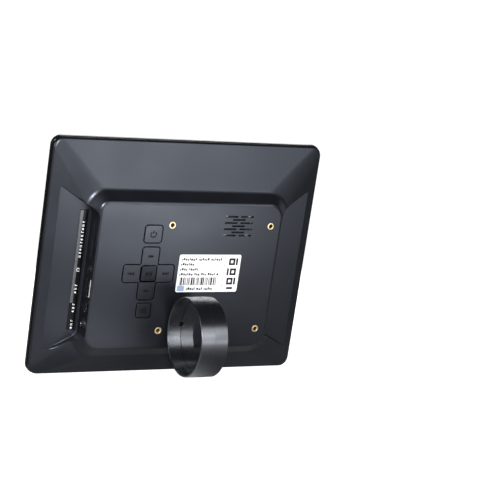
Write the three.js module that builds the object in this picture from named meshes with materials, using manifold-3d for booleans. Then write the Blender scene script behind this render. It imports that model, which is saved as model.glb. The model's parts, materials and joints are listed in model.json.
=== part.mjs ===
// Eight inch digital photo frame on a swivelling ring stand, in millimetres, +Z up.
// Before it leans, x runs towards the port side, y from the glass towards the back and z up from the
// bottom edge. It then leans back until the bottom edge and the ring both stand on the table.
import * as THREE from "three";
import { mergeVertices } from "three/addons/utils/BufferGeometryUtils.js";
import Module from "manifold-3d";

const wasm = await Module();
wasm.setup();

const { degToRad } = THREE.MathUtils;

// Overall sizes
const frameWidth = 200.8;
const frameHeight = 164.8;
const frameDepth = 22.5; // front face to the raised plateau
const frameCorner = 7;
const leanBack = degToRad(16);

// Clearances
const seatGap = 0.1; // between a piece and the face that it is seated on
const fitGap = 0.3; // between pieces that slip into each other
const keyGap = 0.35; // between a key and its hole
const insertGap = 0.15; // round a brass insert or a screw

// Front bezel
const bezelDepth = 6;
const bezelFront = 2.2;
const bezelWall = 2;
const bezelEdge = 1.5;
const windowWidth = 163;
const windowHeight = 122.5;
const windowBevel = 0.6;
const windowCorner = 0.8;

// Rear cover
const coverWall = 2;
const seamGap = 0.4;
const seamInset = 0.4;
const rimHeight = 0.9;
const plateauSide = 32.4; // frame edge to plateau edge, and the same above and below
const plateauTop = 39.4;
const plateauBottom = 22.9;
const plateauCorner = 10;
const stepHeight = 7.1; // the plateau stands on a 45 degree step
const shoulderBlend = 1.3; // half the width of the fillet at the step's foot
const plateauEdge = 3.4; // radius over the plateau's edge
const rimEdge = 0.35;
const spigotWall = 1.4; // rib that slips inside the bezel
const spigotDepth = 3.4;

// Snaps between bezel and cover
const snapLength = 9;
const snapHeight = 0.9;
const snapDrop = 2.2; // bezel's rear edge to the snap
const snapReach = 0.7; // beyond the spigot's face
const snapsAcross = [-0.34, 0, 0.34]; // shares of the width, along top and bottom
const snapsUp = [0.28, 0.72]; // shares of the height, up both sides

// Side recesses
const recessFloor = 9.6;
const recessDraft = degToRad(6);
const recessTop = 7.3; // plateau edge to the recess's inner corner
const recessBottom = 6.8;
const recessTopAngle = degToRad(31);
const recessBottomAngle = degToRad(27);
const recessRadius = 2.6;
const recessFoot = 0.9; // fillet between the recess's walls and its floor

// Display
const lcdWidth = 183;
const lcdHeight = 141;
const glassDepth = 1.4;
const guideDepth = 1.6;
const filmDepth = 0.4; // reflector and diffuser films behind and before the guide
const lcdSkin = 0.4;
const lcdCorner = 1.5;
const ribWall = 1.2;
const ribBreak = 14; // the ribs stop this far from the corners
const hookWidth = 10;
const hookReach = 1;
const hookNose = 0.5;
const hooksAcross = [-0.32, 0, 0.32]; // shares of the display's width
const flexWidth = 20;
const flexFilm = 0.25;
const flexRise = 26;
const flexPlug = { across: 6.5, below: 4, width: 22, height: 5, depth: 2 }; // from the pad's centre

// Keys, in a column beside the ports
const keyColumn = 39.6; // plateau edge to the column's centre line
const keyRise = 2.25; // arrow pad's centre above the plateau's centre
const powerKey = { width: 12.5, height: 12, offset: 27.7, corner: 1.9 };
const menuKey = { width: 10.2, height: 9.9, offset: -26.2, corner: 1.6 };
const okKey = { width: 10.7, height: 10.4, offset: 0, corner: 1.5 };
const padSpan = 37;
const padArm = 12.15;
const padCorner = 1.9;
const padTilt = degToRad(1.4);
const keyProud = 0.15;
const okProud = 0.35;
const keyFlange = 0.8;
const keyRim = 1.1; // flange beyond the cap
const keyTravel = 0.5;
const okWeb = 1.2; // thickness of the pad's top plate round the ok key
const footWidth = 3.4; // foot that presses the switch
const padFoot = 3;
const padPlate = 19; // square plate that ties the pad's arms

// Mainboard and switches
const boardDepth = 1.6;
const boardDrop = 3.9; // plateau's inner face to the board
const boardInset = 2.3; // port side plateau edge to the board
const boardMargin = 4.6; // plateau's top and bottom edges to the board
const boardWidth = 44.8;
const boardTab = 13; // tongue that carries one arrow switch
const boardTabHalf = 20;
const switchSize = 6;
const switchBody = 0.9;
const switchStem = 0.4;
const stemRadius = 1.5;
const screwRadius = 1;
const screwReach = 2.6;
const screwHead = { radius: 1.9, height: 1.1, crown: 0.4 };
const screwPost = 2.6;
const screwInset = 3.5; // board's edges to the screw
const washerWall = 1.7;
const washerNubSize = 1.4;

// Ports: at is the height above the plateau's centre, lift the middle's height over the board
const cardSlot = { at: 24.9, width: 27.7, height: 2.8, depth: 26, lift: 2.1, wall: 0.65 };
const phonePort = { at: 4.25, radius: 2.6, bore: 1.8, width: 6, height: 5, depth: 12, lift: 1.1 };
const usbPort = { at: -9.15, width: 13.1, height: 5.7, depth: 14, lift: 0.75 };
const usbTongue = { width: 11, low: 0.5, high: 2.3, back: 1.2 };
const miniPort = { at: -22.65, width: 7.7, height: 3.7, depth: 9.2, lift: 1.95 };
const miniTongue = { width: 4.4, low: -0.3, high: 0.5, back: 1 };
const powerPort = { at: -34.25, radius: 3.7, bore: 2.9, width: 9, height: 6.6, depth: 13, lift: 0.45 };
const powerPinRadius = 1;
const boreFloor = 2; // left behind a port's bore
const shellWall = 0.3;
const shellCorner = 0.7;

// Chips on the board's front, from the arrow pad's centre
const chipsAcross = 5.6;
const processor = { up: 16, width: 14, height: 14, depth: 1.2 };
const memory = { up: -18, width: 22, height: 10, depth: 1.1 };
const flash = { up: -31, width: 18, height: 12, depth: 1.1 };
const capacitor = { inset: 8, radius: 3.1, height: 5.4 };

// Loudspeaker
const speakerX = -34.6;
const speakerTop = 15.1; // plateau's top edge to the speaker's centre
const speakerRadius = 12;
const basketDepth = 3.2;
const basketSheet = 0.5;
const basketRim = 1.8; // flat edge round the cone
const magnetShare = 0.53; // magnet's radius to the basket's
const magnetDepth = 2.3;
const collarWall = 1;
const collarHeight = 2.5;
const leadRadius = 0.6;
const leadPlug = { left: 8.5, up: 16.5, width: 5, height: 4.5, depth: 2.4 }; // from the board's edge
const slotLength = 9.7;
const slotHeight = 0.95;
const slotPitch = 2.22;
const slotColumns = 11.95;
const slotRows = 7;

// Wall mounting inserts, 75 x 75
const mountPitch = 75;
const mountX = -22.4;
const mountDrop = 1.3; // pattern's centre below the plateau's centre
const insertRadius = 2.6;
const insertBore = 1.4;
const insertLength = 6;
const bossWall = 1.7;
const knurlDepth = 0.3;

// Rating label and port strip
const labelWidth = 46.8;
const labelHeight = 26.7;
const labelX = -16.8;
const labelRise = 2.35;
const labelDepth = 0.15;
const stripWidth = 5;
const stripInset = 3.1; // foot of the port wall to the strip
const stripEnd = 3.2;
const labelCorner = 1.2;

// Ring stand
const ringRadius = 27;
const ringWall = 1.8;
const ringWidth = 19.6;
const ringDraft = 0.15;
const ringStandOff = 1.8;
const ringBoss = 5.5;
const studRadius = 1.5;
const studInsert = 3;
const studTip = 0.6; // the stud ends this far below the ring's inner face
const studSocket = { radius: 0.8, depth: 1.5 };
const ringEdge = 0.35;
const standBoss = 5.6;

// Levels and places that follow from the sizes above
const seamDepth = bezelDepth + seamGap;
const rimDepth = seamDepth + rimHeight;
const shoulderDepth = frameDepth - stepHeight;
const innerFace = frameDepth - coverWall;
const halfWidth = frameWidth / 2;
const plateauX = halfWidth - plateauSide;
const plateauLow = plateauBottom;
const plateauHigh = frameHeight - plateauTop;
const plateauZ = (plateauLow + plateauHigh) / 2;
const windowZ = frameHeight / 2;
const keyX = plateauX - keyColumn;
const keyZ = plateauZ + keyRise;
const boardRear = innerFace - boardDrop;
const boardFront = boardRear - boardDepth;
const boardEdge = plateauX - boardInset;
const boardLow = plateauLow + boardMargin;
const boardHigh = plateauHigh - boardMargin;
const boardLeft = boardEdge - boardWidth;
const boardSeat = boardRear + seatGap;
const switchTop = boardSeat + switchBody + switchStem;
const lcdFront = bezelFront + fitGap;
const lcdBack = lcdFront + glassDepth + guideDepth + filmDepth + lcdSkin;
const mountZ = plateauZ - mountDrop;
const speakerZ = plateauHigh - speakerTop;
const speakerFace = innerFace - fitGap;
const cardY = boardRear + cardSlot.lift;
const phoneY = boardRear + phonePort.lift;
const usbY = boardRear + usbPort.lift;
const miniY = boardRear + miniPort.lift;
const powerY = boardRear + powerPort.lift;
const portMouth = plateauX - 0.1; // metal shells end just inside the wall's outer face
const bodyMouth = boardEdge; // moulded bodies stop behind the wall
const ringAxis = frameDepth + ringStandOff + ringRadius;
const standZ =
  (ringRadius + (ringAxis - bezelDepth) * Math.sin(leanBack)) / Math.cos(leanBack);
const smooth = 24; // sides of a small round piece

// Shapes

function solid(geometry) {
  const bare = new THREE.BufferGeometry();
  bare.setAttribute("position", geometry.getAttribute("position"));
  bare.setIndex(geometry.index);
  const merged = mergeVertices(bare, 1e-4);
  const made = (triVerts) =>
    new wasm.Manifold(
      new wasm.Mesh({ numProp: 3, vertProperties: merged.attributes.position.array, triVerts }),
    );
  const faces = new Uint32Array(merged.index.array);
  const first = made(faces);
  return first.volume() > 0 ? first : made(faces.reverse());
}

function block([x0, x1], [y0, y1], [z0, z1]) {
  const geometry = new THREE.BoxGeometry(x1 - x0, y1 - y0, z1 - z0);
  return solid(geometry.translate((x0 + x1) / 2, (y0 + y1) / 2, (z0 + z1) / 2));
}

// Round bar along y
function rod(x, z, radius, [y0, y1], sides = smooth) {
  const geometry = new THREE.CylinderGeometry(radius, radius, y1 - y0, sides);
  return solid(geometry.translate(x, (y0 + y1) / 2, z));
}

// Round bar along x
function crossRod(y, z, radius, [x0, x1], sides = smooth) {
  const geometry = new THREE.CylinderGeometry(radius, radius, x1 - x0, sides);
  return solid(geometry.rotateZ(Math.PI / 2).translate((x0 + x1) / 2, y, z));
}

// Revolved [radius, y] profile that closes on itself or starts and ends on the axis
function turned(x, z, profile, sides = smooth) {
  const points = profile.map(([radius, y]) => new THREE.Vector2(radius, y));
  if (points[0].x > 0) points.push(points[0].clone());
  return solid(new THREE.LatheGeometry(points, sides).translate(x, 0, z));
}

// A polygon's corners rounded by arcs, one radius for all or one each
function rounded(corners, radii, steps = 6) {
  const points = corners.map(([a, b]) => new THREE.Vector2(a, b));
  return points.flatMap((corner, i) => {
    const radius = Array.isArray(radii) ? radii[i] : radii;
    if (!radius) return [corner];
    const back = points.at(i - 1).clone().sub(corner).normalize();
    const on = points[(i + 1) % points.length].clone().sub(corner).normalize();
    const half = Math.acos(THREE.MathUtils.clamp(back.dot(on), -1, 1)) / 2;
    const centre = back.clone().add(on).setLength(radius / Math.sin(half)).add(corner);
    const start = back.multiplyScalar(radius / Math.tan(half)).add(corner).sub(centre);
    const end = on.multiplyScalar(radius / Math.tan(half)).add(corner).sub(centre);
    const sweep = Math.atan2(start.cross(end), start.dot(end));
    return Array.from({ length: steps + 1 }, (_, k) =>
      start.clone().rotateAround(new THREE.Vector2(), (sweep * k) / steps).add(centre),
    );
  });
}

function rectangle([x0, x1], [z0, z1]) {
  return [
    [x0, z0],
    [x1, z0],
    [x1, z1],
    [x0, z1],
  ];
}

function centred(x, z, width, height) {
  return rectangle([x - width / 2, x + width / 2], [z - height / 2, z + height / 2]);
}

// Outline of (x, z), (y, z) or (x, y) points drawn out along y, x or z
function extruded(outline, axis, [from, to]) {
  const [x, y, z] = [0, 1, 2].map((i) => new THREE.Vector3().setComponent(i, 1));
  const bases = { x: [y, z, x], y: [z, x, y], z: [x, y, z] };
  const points = outline.map((p) => (axis === "y" ? new THREE.Vector2(p.y, p.x) : p));
  const geometry = new THREE.ExtrudeGeometry(new THREE.Shape(points), {
    depth: to - from,
    bevelEnabled: false,
  });
  geometry.translate(0, 0, from);
  return solid(geometry.applyMatrix4(new THREE.Matrix4().makeBasis(...bases[axis])));
}

// Skin through outlines of equally many (x, z) points, each at its own y
function loft(rings) {
  if (THREE.ShapeUtils.isClockWise(rings[0].outline)) {
    rings.forEach(({ outline }) => outline.reverse());
  }
  const count = rings[0].outline.length;
  const vertices = rings.flatMap(({ outline, y }) => outline.flatMap((p) => [p.x, y, p.y]));
  const cap = THREE.ShapeUtils.triangulateShape(rings[0].outline, []);
  const faces = cap.flat();
  const last = (rings.length - 1) * count;
  cap.forEach(([a, b, c]) => faces.push(last + a, last + c, last + b));
  for (let ring = 0; ring < rings.length - 1; ring++) {
    for (let i = 0; i < count; i++) {
      const a = ring * count + i;
      const b = ring * count + ((i + 1) % count);
      faces.push(a, a + count, b, b, a + count, b + count);
    }
  }
  const geometry = new THREE.BufferGeometry();
  geometry.setAttribute("position", new THREE.Float32BufferAttribute(vertices, 3));
  geometry.setIndex(faces);
  return solid(geometry);
}

function joined(...solids) {
  return solids.flat().reduce((all, next) => all.add(next));
}

function finish(color, roughness, metalness = 0) {
  return new THREE.MeshStandardMaterial({ color, roughness, metalness });
}

function piece(name, made, material) {
  const { numProp, vertProperties, triVerts } = made.getMesh();
  const indexed = new THREE.BufferGeometry();
  const buffer = new THREE.InterleavedBuffer(vertProperties, numProp);
  indexed.setAttribute("position", new THREE.InterleavedBufferAttribute(buffer, 3, 0));
  indexed.setIndex(new THREE.BufferAttribute(triVerts, 1));
  const geometry = indexed.toNonIndexed();
  geometry.computeVertexNormals();
  const mesh = new THREE.Mesh(geometry, material());
  mesh.name = name;
  return mesh;
}

const blackSatin = () => finish(0x2b2c31, 0.5);
const blackGloss = () => finish(0x121316, 0.12);
const keyBlack = () => finish(0x2d2e33, 0.45);
const brass = () => finish(0xd9b45a, 0.28, 1);
const steel = () => finish(0xb9bcc0, 0.3, 1);
const nickel = () => finish(0xd4d6d2, 0.2, 1);
const boardGreen = () => finish(0x1c5a36, 0.45);
const chipBlack = () => finish(0x1a1a1c, 0.6);
const darkPlastic = () => finish(0x17181a, 0.5);
const screenGlass = () => finish(0x0a0b0d, 0.06);
const acrylic = () => finish(0xe8ecec, 0.15);
const paperWhite = () => finish(0xf1f2f3, 0.55);
const whitePlastic = () => finish(0xe9e7e0, 0.4);
const amberFilm = () => finish(0xb5722c, 0.4);
const magnetGrey = () => finish(0x55575a, 0.45, 0.8);

// Front bezel

function frameOutline(inset, corner, side = inset, top = inset, bottom = inset) {
  const corners = rectangle([side - halfWidth, halfWidth - side], [bottom, frameHeight - top]);
  return rounded(corners, corner, 7);
}

function bezelShell() {
  const steps = 4;
  const edge = Array.from({ length: steps + 1 }, (_, i) => {
    const turn = (Math.PI / 2) * (i / steps);
    const inset = bezelEdge * (1 - Math.sin(turn));
    const y = bezelEdge * (1 - Math.cos(turn));
    return { outline: frameOutline(inset, frameCorner - inset), y };
  });
  const body = loft([...edge, { outline: frameOutline(0, frameCorner), y: bezelDepth }]);
  const pocket = extruded(frameOutline(bezelWall, frameCorner - bezelWall), "y", [
    bezelFront,
    bezelDepth + 1,
  ]);
  return body.subtract(pocket).subtract(displayWindow());
}

// The window's edge is bevelled towards the viewer
function displayWindow() {
  const opening = (grow, y) => {
    const corners = centred(0, windowZ, windowWidth + 2 * grow, windowHeight + 2 * grow);
    return { outline: rounded(corners, windowCorner + grow, 2), y };
  };
  return loft([
    opening(windowBevel + 1, -1),
    opening(windowBevel, 0),
    opening(0, windowBevel),
    opening(0, bezelFront + 1),
  ]);
}

// Ribs that the display module drops between, open at the corners
function displayRibs() {
  const low = windowZ - lcdHeight / 2 - fitGap;
  const high = windowZ + lcdHeight / 2 + fitGap;
  const side = lcdWidth / 2 + fitGap;
  const ribDepth = [bezelFront - 0.5, lcdBack - 1];
  const upright = [low + ribBreak, high - ribBreak];
  const across = [ribBreak - side, side - ribBreak];
  return joined(
    block([side, side + ribWall], ribDepth, upright),
    block([-side - ribWall, -side], ribDepth, upright),
    block(across, ribDepth, [high, high + ribWall]),
    block(across, ribDepth, [low - ribWall, low]),
  );
}

// Snap hooks that reach over the display module's rear edge
function displayHooks() {
  const hook = (foot, way) => {
    const back = lcdBack + seatGap;
    const tip = foot - way * (hookReach + fitGap);
    const profile = [
      [bezelFront - 0.5, foot],
      [bezelFront - 0.5, foot + way * ribWall],
      [back + hookNose, foot + way * ribWall],
      [back + hookNose, foot - way * hookReach * 0.3],
      [back + hookNose / 2, tip],
      [back, tip],
      [back, foot],
    ];
    return profile.map(([y, z]) => new THREE.Vector2(y, z));
  };
  const low = windowZ - lcdHeight / 2 - fitGap;
  const high = windowZ + lcdHeight / 2 + fitGap;
  return hooksAcross.flatMap((share) => {
    const at = share * lcdWidth;
    const width = [at - hookWidth / 2, at + hookWidth / 2];
    return [extruded(hook(high, 1), "x", width), extruded(hook(low, -1), "x", width)];
  });
}

const snaps = [1, -1].flatMap((side) => [
  ...snapsAcross.map((share) => ({ along: "x", at: share * frameWidth, side })),
  ...snapsUp.map((share) => ({ along: "z", at: share * frameHeight, side })),
]);

// A block on the bezel's inner wall at one snap, reaching in from the wall
function snapBlock({ along, at, side }, grow, from, reach) {
  const length = [at - snapLength / 2 - grow, at + snapLength / 2 + grow];
  const middle = bezelDepth - snapDrop;
  const depth = [middle - snapHeight / 2 - grow, middle + snapHeight / 2 + grow];
  const span = (centre, half) => {
    const ends = [centre + side * (half - reach), centre + side * (half - from)];
    return side > 0 ? ends : ends.reverse();
  };
  return along === "x"
    ? block(length, depth, span(frameHeight / 2, frameHeight / 2))
    : block(span(0, halfWidth), depth, length);
}

function makeBezel() {
  const reach = bezelWall + fitGap + snapReach;
  const bumps = snaps.map((snap) => snapBlock(snap, 0, bezelWall - 0.5, reach));
  return joined(bezelShell(), displayRibs(), displayHooks(), bumps);
}

// Display module: a tray of sheet steel with the light guide and the glass in it

function trayOutline(inset) {
  return rounded(centred(0, windowZ, lcdWidth - 2 * inset, lcdHeight - 2 * inset), lcdCorner, 3);
}

function makeTray() {
  const pocket = extruded(trayOutline(lcdSkin), "y", [lcdFront - 1, lcdBack - lcdSkin]);
  return extruded(trayOutline(0), "y", [lcdFront + seatGap, lcdBack]).subtract(pocket);
}

function makeGlass() {
  const inset = lcdSkin + fitGap;
  return extruded(trayOutline(inset), "y", [lcdFront, lcdFront + glassDepth]);
}

function makeGuide() {
  const front = lcdFront + glassDepth + filmDepth / 2;
  return extruded(trayOutline(lcdSkin + fitGap), "y", [front, front + guideDepth]);
}

const flexConnector = { x: keyX + flexPlug.across, z: keyZ - flexPlug.below };

// Flat flex that rises along the tray's back and swings over into the connector on the board
function makeFlex() {
  const start = lcdBack + seatGap + flexFilm / 2;
  const end = boardFront - flexPlug.depth * 0.6;
  const top = flexConnector.z - flexPlug.height / 2 - fitGap;
  const low = top - flexRise;
  const bend = low + flexRise * 0.6;
  const route = new THREE.CubicBezierCurve(
    new THREE.Vector2(start, low),
    new THREE.Vector2(start, bend),
    new THREE.Vector2(end, bend),
    new THREE.Vector2(end, top),
  );
  const samples = 16;
  const side = (way) =>
    Array.from({ length: samples + 1 }, (_, i) => {
      const along = route.getTangent(i / samples);
      const across = new THREE.Vector2(-along.y, along.x);
      return route.getPoint(i / samples).addScaledVector(across, (way * flexFilm) / 2);
    });
  const width = [flexConnector.x - flexWidth / 2, flexConnector.x + flexWidth / 2];
  return extruded([...side(1), ...side(-1).reverse()], "x", width);
}

// Rear cover

const coverDrop = {
  side: plateauSide - stepHeight - seamInset,
  top: plateauTop - stepHeight - seamInset,
  bottom: plateauBottom - stepHeight - seamInset,
};

// Outline at a share of the way up the slope, moved in by a further run
function coverRing(share, run, corner, y) {
  const inset = (drop) => seamInset + drop * share + run;
  const { side, top, bottom } = coverDrop;
  return { outline: frameOutline(0, corner, inset(side), inset(top), inset(bottom)), y };
}

function coverOutside() {
  const rimCorner = frameCorner - seamInset;
  const shoulderCorner = plateauCorner + stepHeight;
  const slopeRise = shoulderDepth - rimDepth;
  const rings = [
    coverRing(0, 0, rimCorner, seamDepth),
    coverRing(0, 0, rimCorner, rimDepth - rimEdge),
    coverRing(0, rimEdge, rimCorner, rimDepth),
    coverRing(0.94, 0, shoulderCorner, rimDepth + slopeRise * 0.94),
    coverRing(1, 0, shoulderCorner, shoulderDepth + shoulderBlend * 0.25),
    coverRing(1, shoulderBlend, shoulderCorner - shoulderBlend, shoulderDepth + shoulderBlend),
  ];
  const steps = 4;
  const tangent = plateauEdge * Math.tan(Math.PI / 8);
  for (let i = 0; i <= steps; i++) {
    const turn = (Math.PI / 4) * (1 - i / steps);
    const run = stepHeight + tangent - plateauEdge * Math.sin(turn);
    const y = frameDepth - plateauEdge * (1 - Math.cos(turn));
    rings.push(coverRing(1, run, shoulderCorner - run, y));
  }
  return loft(rings);
}

function coverCavity() {
  const shoulderDrop = coverWall * 0.9;
  const shoulderRun = coverWall * Math.SQRT2 - shoulderDrop;
  const faceRun = stepHeight + coverWall * (Math.SQRT2 - 1);
  const corner = plateauCorner + stepHeight;
  return loft([
    coverRing(0, 0, frameCorner - seamInset, bezelFront),
    coverRing(0, 0, frameCorner - seamInset, rimDepth - coverWall * 1.06),
    coverRing(1, shoulderRun, corner - shoulderRun, shoulderDepth - shoulderDrop),
    coverRing(1, faceRun, corner - faceRun, innerFace),
  ]);
}

// Trapezium pocket beside the plateau; grow moves its floor and walls into the cover
function sideRecess(side, grow) {
  const outer = halfWidth + 4;
  const ring = (y, inset = 0) => {
    const inner = plateauX + (frameDepth - y) * Math.tan(recessDraft) - grow + inset;
    const slack = (frameDepth - y) * Math.tan(recessDraft / 2);
    const edge = (from, way, drop, angle) => (x) => {
      const rise = (x - plateauX) * Math.tan(angle) + (grow - inset) / Math.cos(angle);
      return from + way * (rise - drop - slack);
    };
    const top = edge(plateauHigh, 1, recessTop, recessTopAngle);
    const low = edge(plateauLow, -1, recessBottom, recessBottomAngle);
    const corners = [
      [side * inner, low(inner)],
      [side * outer, low(outer)],
      [side * outer, top(outer)],
      [side * inner, top(inner)],
    ];
    const fillet = [recessRadius + grow - inset, 0, 0, recessRadius / 2 + grow - inset];
    return { outline: rounded(corners, fillet, 4), y };
  };
  const floor = recessFloor - grow;
  const foot = [0, 1, 2].map((step) => {
    const turn = (Math.PI / 4) * step;
    return ring(floor + recessFoot * (1 - Math.cos(turn)), recessFoot * (1 - Math.sin(turn)));
  });
  return loft([...foot, ring(frameDepth + 3)]);
}

// Frame-wide rib that slips inside the bezel's wall, with a slot at every snap
function coverSpigot() {
  const outer = bezelWall + fitGap;
  const inner = outer + spigotWall;
  const depth = [bezelDepth - spigotDepth, rimDepth - 0.3];
  const ring = extruded(frameOutline(outer, frameCorner - outer), "y", depth).subtract(
    extruded(frameOutline(inner, frameCorner - inner), "y", [depth[0] - 1, depth[1] + 1]),
  );
  const slots = snaps.map((snap) => snapBlock(snap, fitGap, outer - 0.2, inner + 0.2));
  return ring.subtract(joined(slots));
}

const mountPlaces = [-1, 1].flatMap((across) =>
  [-1, 1].map((up) => [mountX + (across * mountPitch) / 2, mountZ + (up * mountPitch) / 2]),
);

const boardPlaces = [boardLeft + screwInset, boardEdge - screwInset].flatMap((x) =>
  [boardLow + screwInset, boardHigh - screwInset].map((z) => [x, z]),
);

// Posts for the inserts and the board's screws, and the loudspeaker's collar, on the plateau's inside
function coverBosses() {
  const top = innerFace + 0.5;
  const insertLow = frameDepth - insertLength - coverWall;
  const inserts = mountPlaces.map(([x, z]) => rod(x, z, insertRadius + bossWall, [insertLow, top]));
  const stand = rod(0, standZ, standBoss, [insertLow - 1, top]);
  const posts = boardPlaces.map(([x, z]) => rod(x, z, screwPost, [boardSeat, top]));
  const inner = speakerRadius + fitGap;
  const collar = turned(speakerX, speakerZ, [
    [inner, innerFace - collarHeight],
    [inner + collarWall, innerFace - collarHeight],
    [inner + collarWall, top],
    [inner, top],
  ], 30);
  return joined(inserts, stand, posts, collar);
}

function coverBores() {
  const low = frameDepth - insertLength - fitGap;
  const inserts = mountPlaces.map(([x, z]) =>
    rod(x, z, insertRadius + insertGap, [low, frameDepth + 1]),
  );
  const stand = rod(0, standZ, studInsert + insertGap, [low - 1, frameDepth + 1]);
  const screws = boardPlaces.map(([x, z]) =>
    rod(x, z, screwRadius + insertGap, [boardRear - 1, boardRear + screwReach + fitGap]),
  );
  return joined(inserts, stand, screws);
}

// Rows of slots, two and one by turns, over the loudspeaker
function grille() {
  const slots = [];
  for (let row = 0; row < slotRows; row++) {
    const z = speakerZ + (row - (slotRows - 1) / 2) * slotPitch;
    const places = row % 2 ? [0] : [-slotColumns / 2, slotColumns / 2];
    places.forEach((x) => {
      const corners = centred(speakerX + x, z, slotLength, slotHeight);
      const outline = rounded(corners, slotHeight * 0.45, 2);
      slots.push(extruded(outline, "y", [innerFace - 0.5, frameDepth + 1]));
    });
  }
  return joined(slots);
}

function keyOutline(key, grow) {
  return rounded(
    centred(keyX, keyZ + key.offset, key.width + 2 * grow, key.height + 2 * grow),
    key.corner + grow,
    4,
  );
}

// Cross of two bars with rounded ends and small fillets where they meet
function padOutline(grow) {
  const arm = padArm / 2 + grow;
  const tip = padSpan / 2 + grow;
  const corners = [];
  const fillets = [];
  for (let quarter = 0; quarter < 4; quarter++) {
    const turn = (quarter * Math.PI) / 2;
    [[tip, -arm], [tip, arm], [arm, arm]].forEach(([x, z]) => {
      corners.push([
        keyX + x * Math.cos(turn) - z * Math.sin(turn),
        keyZ + x * Math.sin(turn) + z * Math.cos(turn),
      ]);
    });
    fillets.push(padCorner + grow, padCorner + grow, Math.max(0.8 - grow, 0.2));
  }
  return rounded(corners, fillets, 3);
}

function keyHoles() {
  const depth = [innerFace - 0.5, frameDepth + 1];
  return joined(
    extruded(keyOutline(powerKey, keyGap), "y", depth),
    extruded(keyOutline(menuKey, keyGap), "y", depth),
    extruded(padOutline(keyGap), "y", depth),
  );
}

// Rounded rectangle in a port's own plane, its middle at depth y
function portOutline({ at, width, height }, y, grow, corner) {
  const [low, high] = [y - height / 2 - grow, y + height / 2 + grow];
  const [foot, head] = [plateauZ + at - width / 2 - grow, plateauZ + at + width / 2 + grow];
  return rounded(rectangle([low, high], [foot, head]), corner, 2);
}

// Openings through the port wall
function portHoles() {
  const through = [plateauX - coverWall - 1.5, plateauX + 4];
  const slot = (port, y, grow) => extruded(portOutline(port, y, grow, 0.6), "x", through);
  const bore = ({ at, radius }, y) => crossRod(y, plateauZ + at, radius + fitGap, through);
  return joined(
    slot(cardSlot, cardY, 0),
    bore(phonePort, phoneY),
    slot(usbPort, usbY, fitGap),
    slot(miniPort, miniY, fitGap),
    bore(powerPort, powerY),
  );
}

function makeCover() {
  const recesses = (grow) => joined(sideRecess(1, grow), sideRecess(-1, grow));
  const hollow = coverCavity().subtract(recesses(coverWall));
  const shell = coverOutside().subtract(recesses(0)).subtract(hollow);
  return joined(shell, coverSpigot(), coverBosses())
    .subtract(coverBores())
    .subtract(grille())
    .subtract(keyHoles())
    .subtract(portHoles());
}

function makeInsert(x, z, radius, bore, length) {
  const groove = frameDepth - length / 2;
  return turned(x, z, [
    [bore, frameDepth - length],
    [radius, frameDepth - length],
    [radius, groove - 0.5],
    [radius - knurlDepth, groove - 0.3],
    [radius - knurlDepth, groove + 0.3],
    [radius, groove + 0.5],
    [radius, frameDepth],
    [bore + 0.3, frameDepth],
    [bore, frameDepth - 0.3],
  ], 16);
}

// Keys: a cap in its hole, a flange behind the wall and a foot over the switch

const keyFoot = switchTop + keyTravel + seatGap;

function foot(x, z, width, top) {
  return block([x - width / 2, x + width / 2], [keyFoot, top], [z - width / 2, z + width / 2]);
}

function makeKey(key) {
  const flangeTop = innerFace - fitGap;
  const cap = extruded(keyOutline(key, 0), "y", [flangeTop - 0.2, frameDepth + keyProud]);
  const flange = extruded(keyOutline(key, keyRim), "y", [flangeTop - keyFlange, flangeTop]);
  return joined(cap, flange, foot(keyX, keyZ + key.offset, footWidth, flangeTop - keyFlange + 0.2));
}

const okFlangeTop = frameDepth - okWeb - fitGap;
const okPocket = keyRim + fitGap;

function makeOkKey() {
  const low = okFlangeTop - keyFlange;
  const cap = extruded(keyOutline(okKey, 0), "y", [okFlangeTop - 0.2, frameDepth + okProud]);
  const flange = extruded(keyOutline(okKey, okPocket - 2 * fitGap), "y", [low, okFlangeTop]);
  return joined(cap, flange, foot(keyX, keyZ, footWidth, low + 0.2));
}

// The flange stands further off the wall than the pad's edge rises when it rocks
const padReach = padSpan / 2 + keyRim;
const padFlangeTop = innerFace - padReach * Math.sin(padTilt) - 0.15;
const padFlangeLow = padFlangeTop - keyFlange;
const padSwitch = (padSpan / 2 + okKey.width / 2) / 2;
const arrowPlaces = {
  right: [keyX - padSwitch, keyZ],
  up: [keyX, keyZ + padSwitch],
  left: [keyX + padSwitch, keyZ],
  down: [keyX, keyZ - padSwitch],
};

function makeArrowPad() {
  const flangeDepth = [padFlangeLow, padFlangeTop];
  const cap = extruded(padOutline(0), "y", [padFlangeTop - 0.2, frameDepth + keyProud]);
  const flange = extruded(padOutline(keyRim), "y", flangeDepth);
  const plate = extruded(rounded(centred(keyX, keyZ, padPlate, padPlate), 2, 3), "y", flangeDepth);
  const feet = Object.values(arrowPlaces).map(([x, z]) => foot(x, z, padFoot, padFlangeLow + 0.2));
  const opening = extruded(keyOutline(okKey, keyGap), "y", [padFlangeLow - 1, frameDepth + 1]);
  const pocket = extruded(keyOutline(okKey, okPocket), "y", [padFlangeLow - 1, frameDepth - okWeb]);
  return joined(cap, flange, plate, feet).subtract(opening).subtract(pocket);
}

// Square washer under the pad: two nubs on the board let it rock one way, two on top the other way
const washerOuter = padSwitch - switchSize / 2 - 0.8;
const washerInner = washerOuter - washerWall;
const washerNub = (washerOuter + washerInner) / 2;

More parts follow.
